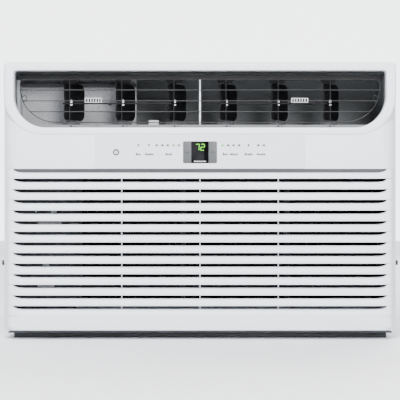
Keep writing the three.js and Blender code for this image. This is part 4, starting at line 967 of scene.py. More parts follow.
    def build(self) -> Piece:
        """Builds and dresses the panel.

        Returns:
            The panel.
        """
        panel = self.shell("panel", 0)
        Bench.boolean(panel, self.shell("hollow", self.wall))
        lo, hi = (-0.3300, self.face + 0.0008, 0.0215), (0.3300, self.face + self.block_depth, 0.2925)
        block = Bench.cuboid("block", lo, hi)
        Bench.bevel(block, along(Axis.Z, lambda co: co.y < self.face + 0.002), 0.0118, 6)
        Bench.boolean(panel, block, "UNION")
        top = self.first_slot + self.gap / 2
        master = self.scoop_cutter(top)
        cutters = Bench.copies(master, [(0, 0, -index * self.pitch) for index in range(1, self.slots)])
        cutters += Bench.copies(master, [(0, 0, 0.2914 - top)])
        Bench.boolean(panel, Bench.join("scoops", [master, *cutters]))
        creases = [self.crease_cutter(0.0405, 0.0008, 0.0005)]
        for height in [0.2914, *(top - index * self.pitch for index in range(self.slots))]:
            creases.append(self.crease_cutter(height + 0.0003, 0.0006, 0.0003))
        Bench.boolean(panel, Bench.join("creases", creases))
        front = self.ahead
        for cutter in (
            Bench.slab("mouth", (-0.325, front, 0.355), (0.325, -0.30, 0.464), (0.06, 0.06, 0.006, 0.006), 20),
            Bench.slab("seat", (-0.1789, front, 0.2916), (0.1789, -0.3331, 0.3474), (0.004,) * 4, 4),
            Bench.cuboid("keys", (-0.1705, front, 0.300), (0.1705, -0.32, 0.339)),
            Bench.cuboid("filter_slot", (0.330, -0.2805, 0.0465), (0.345, -0.2721, 0.2855)),
            Bench.cuboid("gland_notch", (-0.345, -0.2955, 0.0515), (-0.330, -0.255, 0.0725)),
            Bench.drum("screw_holes", (0, -0.290, 0.130), 0.0028, 0.70, Axis.X, 20),
        ):
            Bench.boolean(panel, cutter)
        ribs = []
        for x in self.rib_places:
            ribs.append(Bench.cuboid("rib", (x - 0.0008, -0.3222, 0.045), (x + 0.0008, -0.3110, 0.284)))
        # The closed top slot's back wall is white plastic coloured grey as painted shade.
        lo, hi = (-0.325, self.face + 0.0075, 0.2835), (0.325, self.face + 0.0100, 0.2920)
        blind = Bench.cuboid("blind", lo, hi)
        Bench.finish(blind, BLIND_SLOT_SHADE, Body.FRONT)
        panel = Bench.join("front_shell", [panel, self.rim(), *ribs])
        return Bench.finish(panel, WHITE_PLASTIC, Body.FRONT, ["front_panel"], 24)


# ------------------------------------------------------------------ keypad
class Glyph(Enum):
    """The segments of a seven-segment figure: left, right, top, middle and bottom bars."""

    SEVEN = "t ur lr"
    TWO = "t ur m ll b"


@dataclass
class Keypad:
    """The film with its flush keys, lamps and marks, and the display between two raised keys."""

    front: float = -0.3345
    low: float = 0.292
    high: float = 0.347
    half: float = 0.1785
    key_low: float = 0.3070
    key_high: float = 0.3294
    lamp_height: float = 0.3318
    label_height: float = 0.3160
    note_height: float = 0.3268
    flat_keys: tuple[tuple[str, float, float], ...] = (
        ("key_eco", -0.105, 0.014),
        ("key_sleep", -0.087, 0.014),
        ("key_mode", -0.054, 0.030),
        ("key_fan_speed", 0.053, 0.032),
        ("key_filter", 0.083, 0.014),
        ("key_timer", 0.105, 0.016),
    )
    labels: tuple[tuple[str, float, int], ...] = (
        ("key_eco", -0.1054, 3),
        ("key_sleep", -0.0862, 5),
        ("key_mode", -0.0536, 4),
        ("key_fan_speed", 0.0515, 9),
        ("key_filter", 0.0826, 5),
        ("key_timer", 0.1040, 5),
    )
    lamps: tuple[float, ...] = (
        -0.105, -0.0870, -0.0736, -0.0640, -0.0547, -0.0358, 0.0480, 0.0572, 0.0666, 0.0827, 0.0994, 0.1088
    )
    lit_lamps: tuple[float, ...] = (-0.0452, 0.0387)
    notes: tuple[float, ...] = (
        -0.0736, -0.0640, -0.0547, -0.0452, -0.0358, 0.0387, 0.0480, 0.0572, 0.0666, 0.0994, 0.1088
    )
    power: tuple[float, float] = (-0.1428, 0.3195)

    def mark(self, x: float, z: float, width: float, height: float, lift: float = 0.0) -> Piece:
        """Makes one small printed bar on the keypad's face."""
        lo = (x - width / 2, self.front - lift - 0.00012, z - height / 2)
        return Bench.cuboid("mark", lo, (x + width / 2, self.front - lift + 0.0001, z + height / 2))

    def film(self) -> None:
        """Makes the film, open for the keys and the display."""
        lo, hi = (-self.half, self.front, self.low), (self.half, self.front + 0.001, self.high)
        film = Bench.slab("keypad_film", lo, hi, (0.004,) * 4, 6)
        cutters = [Bench.slab("module", (-0.0290, -0.34, 0.3008), (0.0290, -0.33, 0.3382), (0.0022,) * 4, 5)]
        for _name, x, width in self.flat_keys:
            cutters.append(self.key_form(x, width, 0.0))
        x, z = self.power
        cutters.append(Bench.drum("hole", (x, self.front, z), 0.0060, 0.01, Axis.Y, 40))
        Bench.boolean(film, Bench.join("openings", cutters))
        Bench.finish(film, FILM, Body.FRONT, ["control_overlay"])

    def key_form(self, x: float, width: float, gap: float) -> Piece:
        """Makes a flat key's form, or the opening round it when the gap is zero."""
        lo = (x - width / 2 + gap, self.front if gap else -0.340, self.key_low + gap)
        hi = (x + width / 2 - gap, self.front + 0.004, self.key_high - gap)
        return Bench.slab("key", lo, hi, (0.002,) * 4, 5)

    def keys(self) -> None:
        """Makes the flush keys, each with its label of plain strokes."""
        for name, x, width in self.flat_keys:
            key = self.key_form(x, width, 0.00012)
            key.name = name + "_cap"
            Bench.finish(key, FILM, name, [name])
        for name, x, letters in self.labels:
            strokes = []
            for index in range(letters):
                if name == "key_fan_speed" and index == 3:
                    continue
                tall = (0.0040, 0.0028, 0.0028, 0.0036, 0.0028)[index % 5]
                place = x + (index - (letters - 1) / 2) * 0.00285
                base = self.label_height - 0.0016
                strokes.append(self.mark(place, base + tall / 2, 0.0020, tall))
                if index % 2 == 0:
                    strokes.append(self.mark(place + 0.0008, base + 0.0006, 0.0016, 0.0010))
            Bench.finish(Bench.join(name + "_label", strokes), INK, name)
        x, z = self.power
        cap = Bench.drum("power_cap", (x, self.front + 0.002, z), 0.00585, 0.004, Axis.Y, 40)
        Bench.finish(cap, FILM, "key_power", ["key_power"])
        ring = Bench.ring("power_mark", (x, self.front, z), 0.0043, 0.0010, Axis.Y, 32)
        sign = Bench.join("power_mark", [ring, self.mark(x, z + 0.0004, 0.0014, 0.0036)])
        Bench.finish(sign, INK, "key_power")

    def lights(self) -> None:
        """Makes the lamps over the labels and the notes under them."""
        for lamp_set, finish, name in (
            (self.lamps, DARK_DOT, "lamps"), (self.lit_lamps, GREEN_DOT, "lit_lamps")
        ):
            row = [
                Bench.drum("lamp", (x, self.front, self.lamp_height), 0.00160, 0.0005, Axis.Y, 16)
                for x in lamp_set
            ]
            Bench.finish(Bench.join(name, row), finish, Body.FRONT)
        notes = []
        for number, x in enumerate(self.notes):
            span = 0.0058 if number % 3 else 0.0070
            for step in range(4):
                tall = 0.0014 if step % 2 else 0.0019
                place = x + (step - 1.5) * span / 4
                notes.append(self.mark(place, self.note_height + 0.0040, span / 6, tall))
        Bench.finish(Bench.join("lamp_notes", notes), NOTE_INK, Body.FRONT)

    def display(self) -> None:
        """Makes the black window with its two lit figures and a painted reflection, and the raised keys beside
        it.
        """
        screen = Bench.slab(
            "display_screen", (-0.0143, self.front - 0.0002, 0.3012), (0.0143, self.front + 0.004, 0.3378),
            (0,) * 4
        )
        Bench.finish(screen, SCREEN, Body.FRONT, ["display_window"])
        # A lighter patch over part of the screen, cut on a slant: a painted reflection on the glass.
        painted_reflection = Bench.slab(
            "display_shine", (-0.0136, self.front - 0.00025, 0.3050), (0.0070, self.front, 0.3374), (0,) * 4
        )
        leaning = Bench.cuboid("leaning", (-0.030, -0.34, 0.260), (0.030, -0.33, 0.300))
        Bench.turn(leaning, -58, Axis.Y, (0.0070, 0, 0.3374))
        Bench.only(leaning)
        bpy.ops.transform.translate(value=(0.0250, 0, -0.0005))
        Bench.settle("leaning")
        Bench.boolean(painted_reflection, leaning)
        Bench.finish(painted_reflection, SCREEN_PAINTED_REFLECTION, Body.FRONT)
        figures = []
        for glyph, x in ((Glyph.SEVEN, -0.0044), (Glyph.TWO, 0.0044)):
            figures += self.figure(glyph, x, 0.3281)
        Bench.finish(Bench.join("display_figures", figures), DIGIT, Body.FRONT)
        small = [
            self.mark((step - 4.5) * 0.0021, 0.3040, 0.0013, 0.0013 if step % 2 else 0.0019, 0.0003)
            for step in range(10)
        ]
        Bench.finish(Bench.join("display_notes", small), PALE_INK, Body.FRONT)
        for name, side in (("key_temp_down", -1), ("key_temp_up", 1)):
            inner, outer = sorted((side * 0.0147, side * 0.0289))
            radii = (0.0022, 0, 0, 0.0022) if side < 0 else (0, 0.0022, 0.0022, 0)
            key = Bench.slab(
                name + "_cap", (inner, self.front - 0.0006, 0.3011), (outer, self.front + 0.0034, 0.3379),
                radii, 5
            )
            Bench.bevel(key, lambda co, _run: co.y < self.front - 0.0005, 0.0003, 2)
            Bench.finish(key, KEY_GREY, name, [name])
            arms = []
            for lean in (-1, 1):
                arm = self.mark(side * 0.0218, 0.3195, 0.0042, 0.0008, 0.0006)
                arm.data.transform(Matrix.Translation((lean * 0.0017, 0, 0)))
                Bench.turn(arm, -side * lean * -38, Axis.Y, (side * 0.0218 + lean * 0.0017, 0, 0.3195))
                arms.append(arm)
            Bench.finish(Bench.join(name + "_arrow", arms), INK, name)

    def figure(self, glyph: Glyph, x: float, z: float) -> list[Piece]:
        """Makes a figure's lit bars.

        Args:
            glyph: Which bars are lit.
            x: The figure's middle.
            z: The figure's middle.

        Returns:
            The bars.
        """
        wide, tall, thick = 0.0058, 0.0102, 0.0014
        bars = {
            "t": (0, tall / 2, wide, thick),
            "m": (0, 0, wide, thick),
            "b": (0, -tall / 2, wide, thick),
            "ur": (wide / 2, tall / 4, thick, tall / 2),
            "lr": (wide / 2, -tall / 4, thick, tall / 2),
            "ll": (-wide / 2, -tall / 4, thick, tall / 2),
        }
        lean = 0.0006
        made = []
        for segment in glyph.value.split():
            dx, dz, width, height = bars[segment]
            made.append(self.mark(x + dx + lean * dz / tall * 2, z + dz, width, height * 0.94, 0.0003))
        return made

    def build(self) -> None:
        """Builds the whole keypad."""
        self.film()
        self.keys()
        self.lights()
        self.display()


# ------------------------------------------------------------------ louvres and guard
@dataclass
class Vane:
    """One black vane with its pivots, flare and link pin, made at the origin of its pivot line."""

    front: float = 0.021
    rear: float = 0.039
    thick: float = 0.0026
    low: float = 0.3764
    high: float = 0.4394
    rest: float = -30

    def build(self) -> list[Piece]:
        """Makes the vane turned to its rest about the line x = 0, y = 0.

        Returns:
            The black vane, its pale flare with the foot, and its bright pins.
        """
        plate = Bench.cuboid(
            "vane", (-self.thick / 2, -self.front, self.low), (self.thick / 2, self.rear, self.high)
        )
        Bench.bevel(plate, along(Axis.X, lambda co: co.y < 0), 0.0055, 7)
        Bench.bevel(plate, along(Axis.X, lambda co: co.y > self.rear - 0.001), 0.0120, 9)
        notch = Bench.cuboid("notch", (-0.01, -self.front - 0.01, 0.4016), (0.01, -0.0135, 0.4076))
        Bench.boolean(plate, notch)
        Bench.soften(plate, 0.0008, 2, 60)
        hub = Bench.drum("hub", (0, 0, 0.4080), 0.0012, 0.066, Axis.Z, 20)
        neck = Bench.drum("neck", (0, 0, 0.4440), 0.0026, 0.0100, Axis.Z, 20)
        pin = Bench.drum("pin", (0, 0, 0.3690), 0.0024, 0.0130, Axis.Z, 20)
        link_pin = Bench.drum("link_pin", (0, -0.0170, 0.4046), 0.0015, 0.0070, Axis.Z, 16)
        black = Bench.join("vane", [plate, hub, neck, pin, link_pin])
        profile = [(0, 0.0001), (0.0162, 0.0001), (0.0158, 0.0014), (0.0128, 0.0048), (0.0060, 0.0076)]
        flare = Bench.spun("flare", [*profile, (0, 0.0080)], (0, 0, 0.3684), Axis.Z, 28)
        cap = Bench.drum("pins", (0, 0, 0.4408), 0.0022, 0.0018, Axis.Z, 20)
        pieces = [black, flare, cap]
        for piece in pieces:
            Bench.turn(piece, self.rest, Axis.Z, (0, 0, 0))
        return pieces


@dataclass
class Louvres:
    """Two banks of three vanes, each joined by a link with a ribbed thumb grip, on their rails."""

    spacing: float = 0.0892
    pivot_y: float = -0.2857
    pin_shift: tuple[float, float] = (-0.0085, -0.30042)
    link_low: float = 0.4034
    grips: tuple[tuple[str, float, float], ...] = (("left", -0.1813, -0.1338), ("right", 0.1703, 0.1338))
    half: float = 0.3155

    def vanes(self) -> None:
        """Copies the vane to its six pivots."""
        masters = Vane().build()
        for index in range(6):
            bank, place = ("left", index + 1) if index < 3 else ("right", index - 2)
            node = f"vane_{bank}_{place}"
            x = (index - 2.5) * self.spacing
            looks = ((BLACK_PLASTIC, "blade"), (DARK_FLARE, "flare"), (GRIP_PLASTIC, "pins"))
            for master, (finish, part) in zip(masters, looks):
                piece = Bench.copies(master, [(x, self.pivot_y, 0)])[0]
                piece.name = f"{node}_{part}"
                Bench.finish(piece, finish, node, [node] if part == "blade" else [])
        for master in masters:
            bpy.data.objects.remove(master, do_unlink=True)

    def links(self) -> None:
        """Makes each bank's black link bar and the ribbed grip in front of the guard."""
        for bank, grip, middle in self.grips:
            y = self.pin_shift[1]
            left = middle - self.spacing + self.pin_shift[0] - 0.0050
            right = middle + self.spacing + self.pin_shift[0] + 0.0050
            low, high = self.link_low, self.link_low + 0.0025
            bar = Bench.cuboid("bar", (left, y - 0.0026, low), (right, y + 0.0026, high))
            Bench.bevel(bar, along(Axis.Z), 0.0024, 5)
            stem = Bench.cuboid("stem", (grip - 0.006, -0.3262, low), (grip + 0.006, y - 0.001, high))
            under = Bench.cuboid(
                "under", (grip - 0.0152, -0.3314, low - 0.0014), (grip + 0.0142, -0.3246, low + 0.0006)
            )
            tab = Bench.cuboid(
                "tab", (grip + 0.0235, y - 0.0062, low - 0.0022), (grip + 0.0288, y - 0.001, low + 0.0024)
            )
            black = Bench.soften(Bench.join(f"link_{bank}_bar", [bar, stem, under, tab]), 0.0004, 2)
            Bench.finish(black, BLACK_PLASTIC, f"link_{bank}", [f"link_{bank}"])
            lo, hi = low + 0.0008, low + 0.0088
            rails = [
                Bench.cuboid("edge", (grip - 0.0148, -0.3312, lo), (grip + 0.0140, -0.3250, lo + 0.0011)),
                Bench.cuboid("edge", (grip - 0.0148, -0.3312, hi - 0.0012), (grip + 0.0140, -0.3250, hi)),
            ]
            rib = Bench.cuboid("rib", (grip - 0.0148, -0.3314, lo), (grip - 0.0130, -0.3250, hi))
            ribs = [rib, *Bench.copies(rib, [(step * 0.0045, 0, 0) for step in range(1, 7)])]
            web = Bench.cuboid("web", (grip - 0.0140, -0.3268, lo), (grip + 0.0132, -0.3256, hi))
            pad = Bench.soften(Bench.join(f"link_{bank}_grip", [*rails, *ribs]), 0.0003, 2)
            Bench.finish(pad, GRIP_PLASTIC, f"link_{bank}")
            Bench.finish(web, BLACK_PLASTIC, f"link_{bank}").name = f"link_{bank}_web"
            studs = []
            for step in (-1, 0, 1):
                x = middle + step * self.spacing
                upper = ((x - 0.0004, y - 0.0034, high), (x + 0.0030, y + 0.0005, high + 0.0048))
                lower = ((x - 0.0002, y - 0.0036, low - 0.0024), (x + 0.0032, y + 0.0005, low))
                studs += [Bench.cuboid("stud", *upper), Bench.cuboid("stud", *lower)]
            row = Bench.soften(Bench.join(f"link_{bank}_studs", studs), 0.0006, 2)
            Bench.finish(row, PIN_WHITE, f"link_{bank}")

    def rails(self) -> None:
        """Makes the rails over and under the vanes, the trapezoid brackets and the divider."""
        upper = Bench.cuboid("upper_rail", (-self.half, -0.3027, 0.4476), (self.half, -0.2677, 0.4534))
        lip = Bench.cuboid("lip", (-self.half, -0.3027, 0.4450), (self.half, -0.3012, 0.4480))
        upper = Bench.soften(Bench.join("upper_rail", [upper, lip]), 0.0006, 2)
        Bench.finish(upper, RAIL_GREY, Body.CHASSIS, ["vane_rail_top"])
        bracket = Bench.cuboid("bracket", (-0.012, -0.2932, 0.4420), (0.012, -0.2782, 0.4478))
        Bench.pick(bracket, Kind.FACE, lambda _co, normal: normal.z > 0.9)
        bpy.ops.transform.resize(value=(32 / 24, 1, 1), center_override=(0, -0.2857, 0.4478))
        Bench.done()
        Bench.soften(bracket, 0.0007, 2, 20)
        places = [((index - 2.5) * self.spacing, 0, 0) for index in range(6)]
        row = Bench.copies(bracket, places)
        bpy.data.objects.remove(bracket, do_unlink=True)
        Bench.finish(Bench.join("vane_brackets", row), BLACK_PLASTIC, Body.CHASSIS)
        lower = Bench.cuboid("lower_rail", (-self.half, -0.3027, 0.3620), (self.half, -0.2677, 0.3680))
        Bench.soften(lower, 0.0012, 3)
        for index in range(6):
            x = (index - 2.5) * self.spacing
            Bench.boolean(lower, Bench.drum("hole", (x, self.pivot_y, 0.365), 0.0028, 0.02, Axis.Z, 20))
        Bench.finish(lower, FLARE_GREY, Body.CHASSIS, ["vane_rail_bottom"])
        dots = []
        for index in range(6):
            x = (index - 2.5) * self.spacing
            dots.append(Bench.drum("dot", (x + 0.0010, -0.3030, 0.3655), 0.0014, 0.0014, Axis.Y, 16))
            dots.append(Bench.drum("dot", (x + 0.0078, -0.3030, 0.3660), 0.0009, 0.0014, Axis.Y, 16))
        Bench.finish(Bench.join("rail_pins", dots), BLACK_PLASTIC, Body.CHASSIS)
        divider = Bench.cuboid("divider", (-0.0014, -0.3027, 0.3684), (0.0014, -0.2677, 0.4474))
        Bench.soften(divider, 0.0005, 2)
        Bench.finish(divider, WHITE_PLASTIC, Body.CHASSIS, ["centre_divider"])

    def build(self) -> None:
        """Builds everything that swings and what it swings in."""
        self.vanes()
        self.links()
        self.rails()


@dataclass
class WireGuard:
    """The bent wire guard in front of the vanes, with its loops at the lower corners."""

    plane: float = -0.3185
    half: float = 0.3080
    low: float = 0.3710
    high: float = 0.4450
    radius: float = 0.00078
    bars: tuple[float, ...] = (0.3895, 0.4080, 0.4265)
    spacing: float = 0.0892
    outline: tuple[tuple[float, float], ...] = (
        (0, 0.3710), (0.247, 0.3710), (0.2620, 0.3728), (0.2800, 0.3800), (0.2945, 0.3925),
        (0.3035, 0.4070), (0.3063, 0.4200), (0.3080, 0.4240), (0.3080, 0.4450), (0, 0.4450),
    )
    loop: tuple[tuple[float, float], ...] = (
        (0.3045, 0.4150), (0.2990, 0.4180), (0.2955, 0.4130), (0.2990, 0.4075), (0.3030, 0.4065),
    )

    def build(self) -> None:
        """Bends the frame, the bars, the uprights and the legs."""
        y, r = self.plane, self.radius
        pieces = []
        for side in (-1, 1):
            outer = [(side * x, y, z) for x, z in self.outline]
            pieces.append(Bench.wire("frame", outer, r, 0.010))
            loop = [(side * x, y + 0.001, z) for x, z in self.loop]
            pieces.append(Bench.wire("loop", loop, r * 0.9, 0.004))
        for z, reach in zip(self.bars, (0.2925, 0.3045, self.half)):
            pieces.append(Bench.wire("bar", [(-reach, y - 2 * r, z), (reach, y - 2 * r, z)], r))
        for index in range(6):
            x = (index - 2.5) * self.spacing
            pieces.append(Bench.wire("upright", [(x, y, self.low), (x, y, self.high)], r))
        for x in (-0.1784, 0.1784):
            for z, way in ((self.low, -1), (self.high, 1)):
                leg = [(x, y, z), (x, y + 0.004, z), (x, y + 0.024, z)]
                pieces.append(Bench.wire("leg", leg, r, 0.003))
        Bench.finish(Bench.join("outlet_guard", pieces), GUARD_PAINT, Body.CHASSIS, ["wire_guard"], 60)


@dataclass
class OutletDuct:
    """The lined duct behind the vanes: pale foam on the left, dark plastic on the right whose near-black colour
    is painted shade of the deep duct.
    """

    half: float = 0.3245
    low: float = 0.3560
    high: float = 0.4630
    front: float = -0.2611
    back: float = -0.0991
    neck: tuple[float, float, float, float] = (-0.0160, 0.0960, -0.1900, -0.1050)

    def build(self) -> None:
        """Builds the open box with the neck opening in its floor, its foam, the ledge of painted shade and the
        clip.
        """
        box = Bench.cuboid("duct", (-self.half, self.front, self.low), (self.half, self.back, self.high))
        lo = (-self.half + 0.003, self.front - 0.01, self.low + 0.003)
        hi = (self.half - 0.003, self.back - 0.003, self.high - 0.003)
        Bench.boolean(box, Bench.cuboid("hollow", lo, hi))
        x0, x1, y0, y1 = self.neck
        Bench.boolean(box, Bench.cuboid("neck", (x0, y0, self.low - 0.01), (x1, y1, self.low + 0.01)))
        ribs = []
        y = self.back - 0.0005
        for index in range(9):
            x = -0.3 + index * 0.075
            lo, hi = (x - 0.001, y, self.low + 0.004), (x + 0.001, y + 0.003, self.high - 0.004)
            ribs.append(Bench.cuboid("rib", lo, hi))
        for z in (self.low + 0.035, self.high - 0.035):
            ribs.append(Bench.cuboid("rib", (-0.31, y, z - 0.001), (0.31, y + 0.0025, z + 0.001)))
        box = Bench.soften(Bench.join("outlet_duct", [box, *ribs]), 0.0006, 1)
        # The box's near-black colour is painted shade of the duct's depth.
        Bench.finish(box, DUCT_SHADE_PLASTIC, Body.CHASSIS, ["discharge_housing"])
        foam = Bench.cuboid("duct_foam", (-0.3212, -0.2200, 0.3594), (-0.1130, -0.2020, 0.4596))
        floor = Bench.cuboid("duct_foam", (-0.3212, self.front + 0.001, 0.3594), (-0.1130, -0.2100, 0.3640))
        side = Bench.cuboid("duct_foam", (-0.3212, self.front + 0.001, 0.3620), (-0.3150, -0.2100, 0.4580))
        foam = Bench.soften(Bench.join("duct_foam", [foam, floor, side]), 0.0030, 3)
        Bench.finish(foam, LINER_FOAM, Body.CHASSIS)
        # A dark strip along the top of the foam: painted shade, not a real part.
        step = Bench.cuboid("duct_ledge", (-0.3150, -0.2560, 0.4380), (-0.1130, -0.2190, 0.4440))
        Bench.soften(step, 0.0020, 3)
        Bench.finish(step, LEDGE_PAINTED_SHADE, Body.CHASSIS)
        clip = Bench.cuboid("duct_clip", (-0.0905, -0.2440, 0.3655), (-0.0724, -0.2360, 0.3790))
        Bench.soften(clip, 0.0012, 2)
        Bench.finish(clip, PIN_WHITE, Body.CHASSIS)


# ------------------------------------------------------------------ intake side
@dataclass
class IntakeBay:
    """What shows through the intake slots: the filter in its guides and the grey side plate."""

    left: float = -0.2150
    right: float = 0.3365
    low: float = 0.0480
    high: float = 0.2840
    front: float = -0.2790
    border: float = 0.0100
    screw: tuple[float, float] = (-0.290, 0.130)
    knock_outs: tuple[tuple[float, float, float, float], ...] = (
        (-0.2870, 0.2180, 0.0030, 0.0060), (-0.2560, 0.2180, 0.0100, 0.0070),
        (-0.2630, 0.1960, 0.0420, 0.0080), (-0.2700, 0.1280, 0.0120, 0.0120),
        (-0.2700, 0.0900, 0.0300, 0.0090),
    )

    def filter(self) -> None:
        """Makes the filter's frame with its mullions, its net, and the pull tab at the right."""
        y, border = self.front, self.border
        spans = [
            ((self.left, y, self.low), (self.right, y + 0.004, self.low + border)),
            ((self.left, y, self.high - border), (self.right, y + 0.004, self.high)),
        ]
        bay = (self.right - self.left - border) / 3
        for index in range(4):
            x = self.left + index * bay
            spans.append(((x, y, self.low), (x + border, y + 0.004, self.high)))
        for index in range(1, 6):
            z = self.low + index * (self.high - self.low) / 6
            spans.append(
                ((self.left + 0.005, y + 0.001, z - 0.001), (self.right - 0.006, y + 0.003, z + 0.001))
            )
        spans.append(
            ((self.right - 0.0016, y - 0.0006, 0.140), (self.right - 0.0002, y + 0.0046, 0.192))
        )
        rails = [Bench.cuboid("bar", lo, hi) for lo, hi in spans]
        frame_piece = Bench.soften(Bench.join("filter_frame_bars", rails), 0.0006, 2)
        Bench.finish(frame_piece, DARK_PLASTIC, Body.FILTER, ["filter_frame"])
        net = Bench.cuboid(
            "filter_net", (self.left + 0.002, -0.2746, self.low + 0.002),
            (0.3320, -0.2736, self.high - 0.002)
        )
        Bench.finish(net, NET, Body.FILTER, ["filter_mesh"])

    def guides(self) -> None:
        """Makes the two white channels that the filter slides in, coloured mid grey as painted shade behind the
        slots.
        """
        for name, edge, way in (("filter_guide_top", 0.2840, 1), ("filter_guide_bottom", 0.0480, -1)):
            outer = sorted((edge - way * 0.0060, edge + way * 0.0024))
            inner = sorted((edge - way * 0.0080, edge + way * 0.0005))
            rail = Bench.cuboid(name, (-0.2150, -0.2817, outer[0]), (0.3331, -0.2709, outer[1]))
            Bench.boolean(rail, Bench.cuboid("slide", (-0.22, -0.2797, inner[0]), (0.34, -0.2729, inner[1])))
            Bench.soften(rail, 0.0004, 2)
            Bench.finish(rail, GUIDE_SHADE_PLASTIC, Body.FRONT, [name])

    def side_plate(self) -> None:
        """Makes the galvanised plate beside the filter, with its knock-outs, ear, flange and screws."""
        plate = Bench.cuboid("side_plate", (-0.3265, -0.2611, 0.0360), (-0.2020, -0.2599, 0.3556))
        ear = Bench.cuboid("ear", (-0.3265, -0.2940, 0.0530), (-0.3253, -0.2600, 0.0710))
        flange = Bench.cuboid("flange", (-0.2032, -0.2665, 0.040), (-0.2020, -0.2600, 0.352))
        plate = Bench.join("side_plate_sheet", [plate, ear, flange])
        holes = []
        for x, z, width, height in self.knock_outs:
            lo, hi = (x - width / 2, -0.27, z - height / 2), (x + width / 2, -0.25, z + height / 2)
            holes.append(Bench.cuboid("hole", lo, hi))
        Bench.boolean(plate, Bench.join("holes", holes))
        Bench.finish(plate, PLATE_GREY, Body.CHASSIS, ["intake_side_plate"])
        heads = []
        for x, z in ((-0.3150, 0.0560), (-0.3150, 0.3300), (-0.2150, 0.0560), (-0.2150, 0.3300)):
            heads.append(Bench.drum("screw", (x, -0.2620, z), 0.0042, 0.0018, Axis.Y, 20))
        Bench.finish(Bench.soften(Bench.join("side_plate_screws", heads), 0.0005, 2), ZINC, Body.CHASSIS)
        dial = Bench.drum("sensor_bulb", (-0.2100, -0.2680, 0.2300), 0.0032, 0.0700, Axis.Z, 20)
        Bench.finish(Bench.soften(dial, 0.0012, 3), COPPER, Body.CHASSIS)
        profile = [
            (0.0040, 0.0), (0.0088, 0.0), (0.0090, 0.0012), (0.0075, 0.0024), (0.0075, 0.0110),
            (0.0090, 0.0118), (0.0040, 0.0118)
        ]
        gland = Bench.spun("gland_sleeve", profile, (-0.3364, -0.2850, 0.0620), Axis.X, 36)
        Bench.finish(gland, RUBBER, Body.CHASSIS, ["cord_gland"])

    def screws(self) -> None:
        """Makes the two washer-head screws in the panel's sides."""
        y, z = self.screw
        for name, side in (("front_screw_left", -1), ("front_screw_right", 1)):
            x = side * 0.3366
            washer = Bench.drum("washer", (x + side * 0.0006, y, z), 0.0064, 0.0012, Axis.X, 32)
            head = Bench.drum("head", (x + side * 0.0032, y, z), 0.0049, 0.0050, Axis.X, 6)
            Bench.soften(head, 0.0007, 2)
            slot = Bench.cuboid(
                "slot", (x + side * 0.0045 - 0.001, -0.2945, 0.1295),
                (x + side * 0.0065 + 0.001, -0.2855, 0.1305)
            )
            Bench.boolean(head, slot)
            shank = Bench.drum("shank", (x - side * 0.004, y, z), 0.0024, 0.008, Axis.X, 20)
            Bench.finish(Bench.join(name + "_hex", [washer, head, shank]), SCREW_BLACK, Body.FRONT, [name])

    def build(self) -> None:
        """Builds the intake side."""
        self.filter()
        self.guides()
        self.side_plate()
        self.screws()


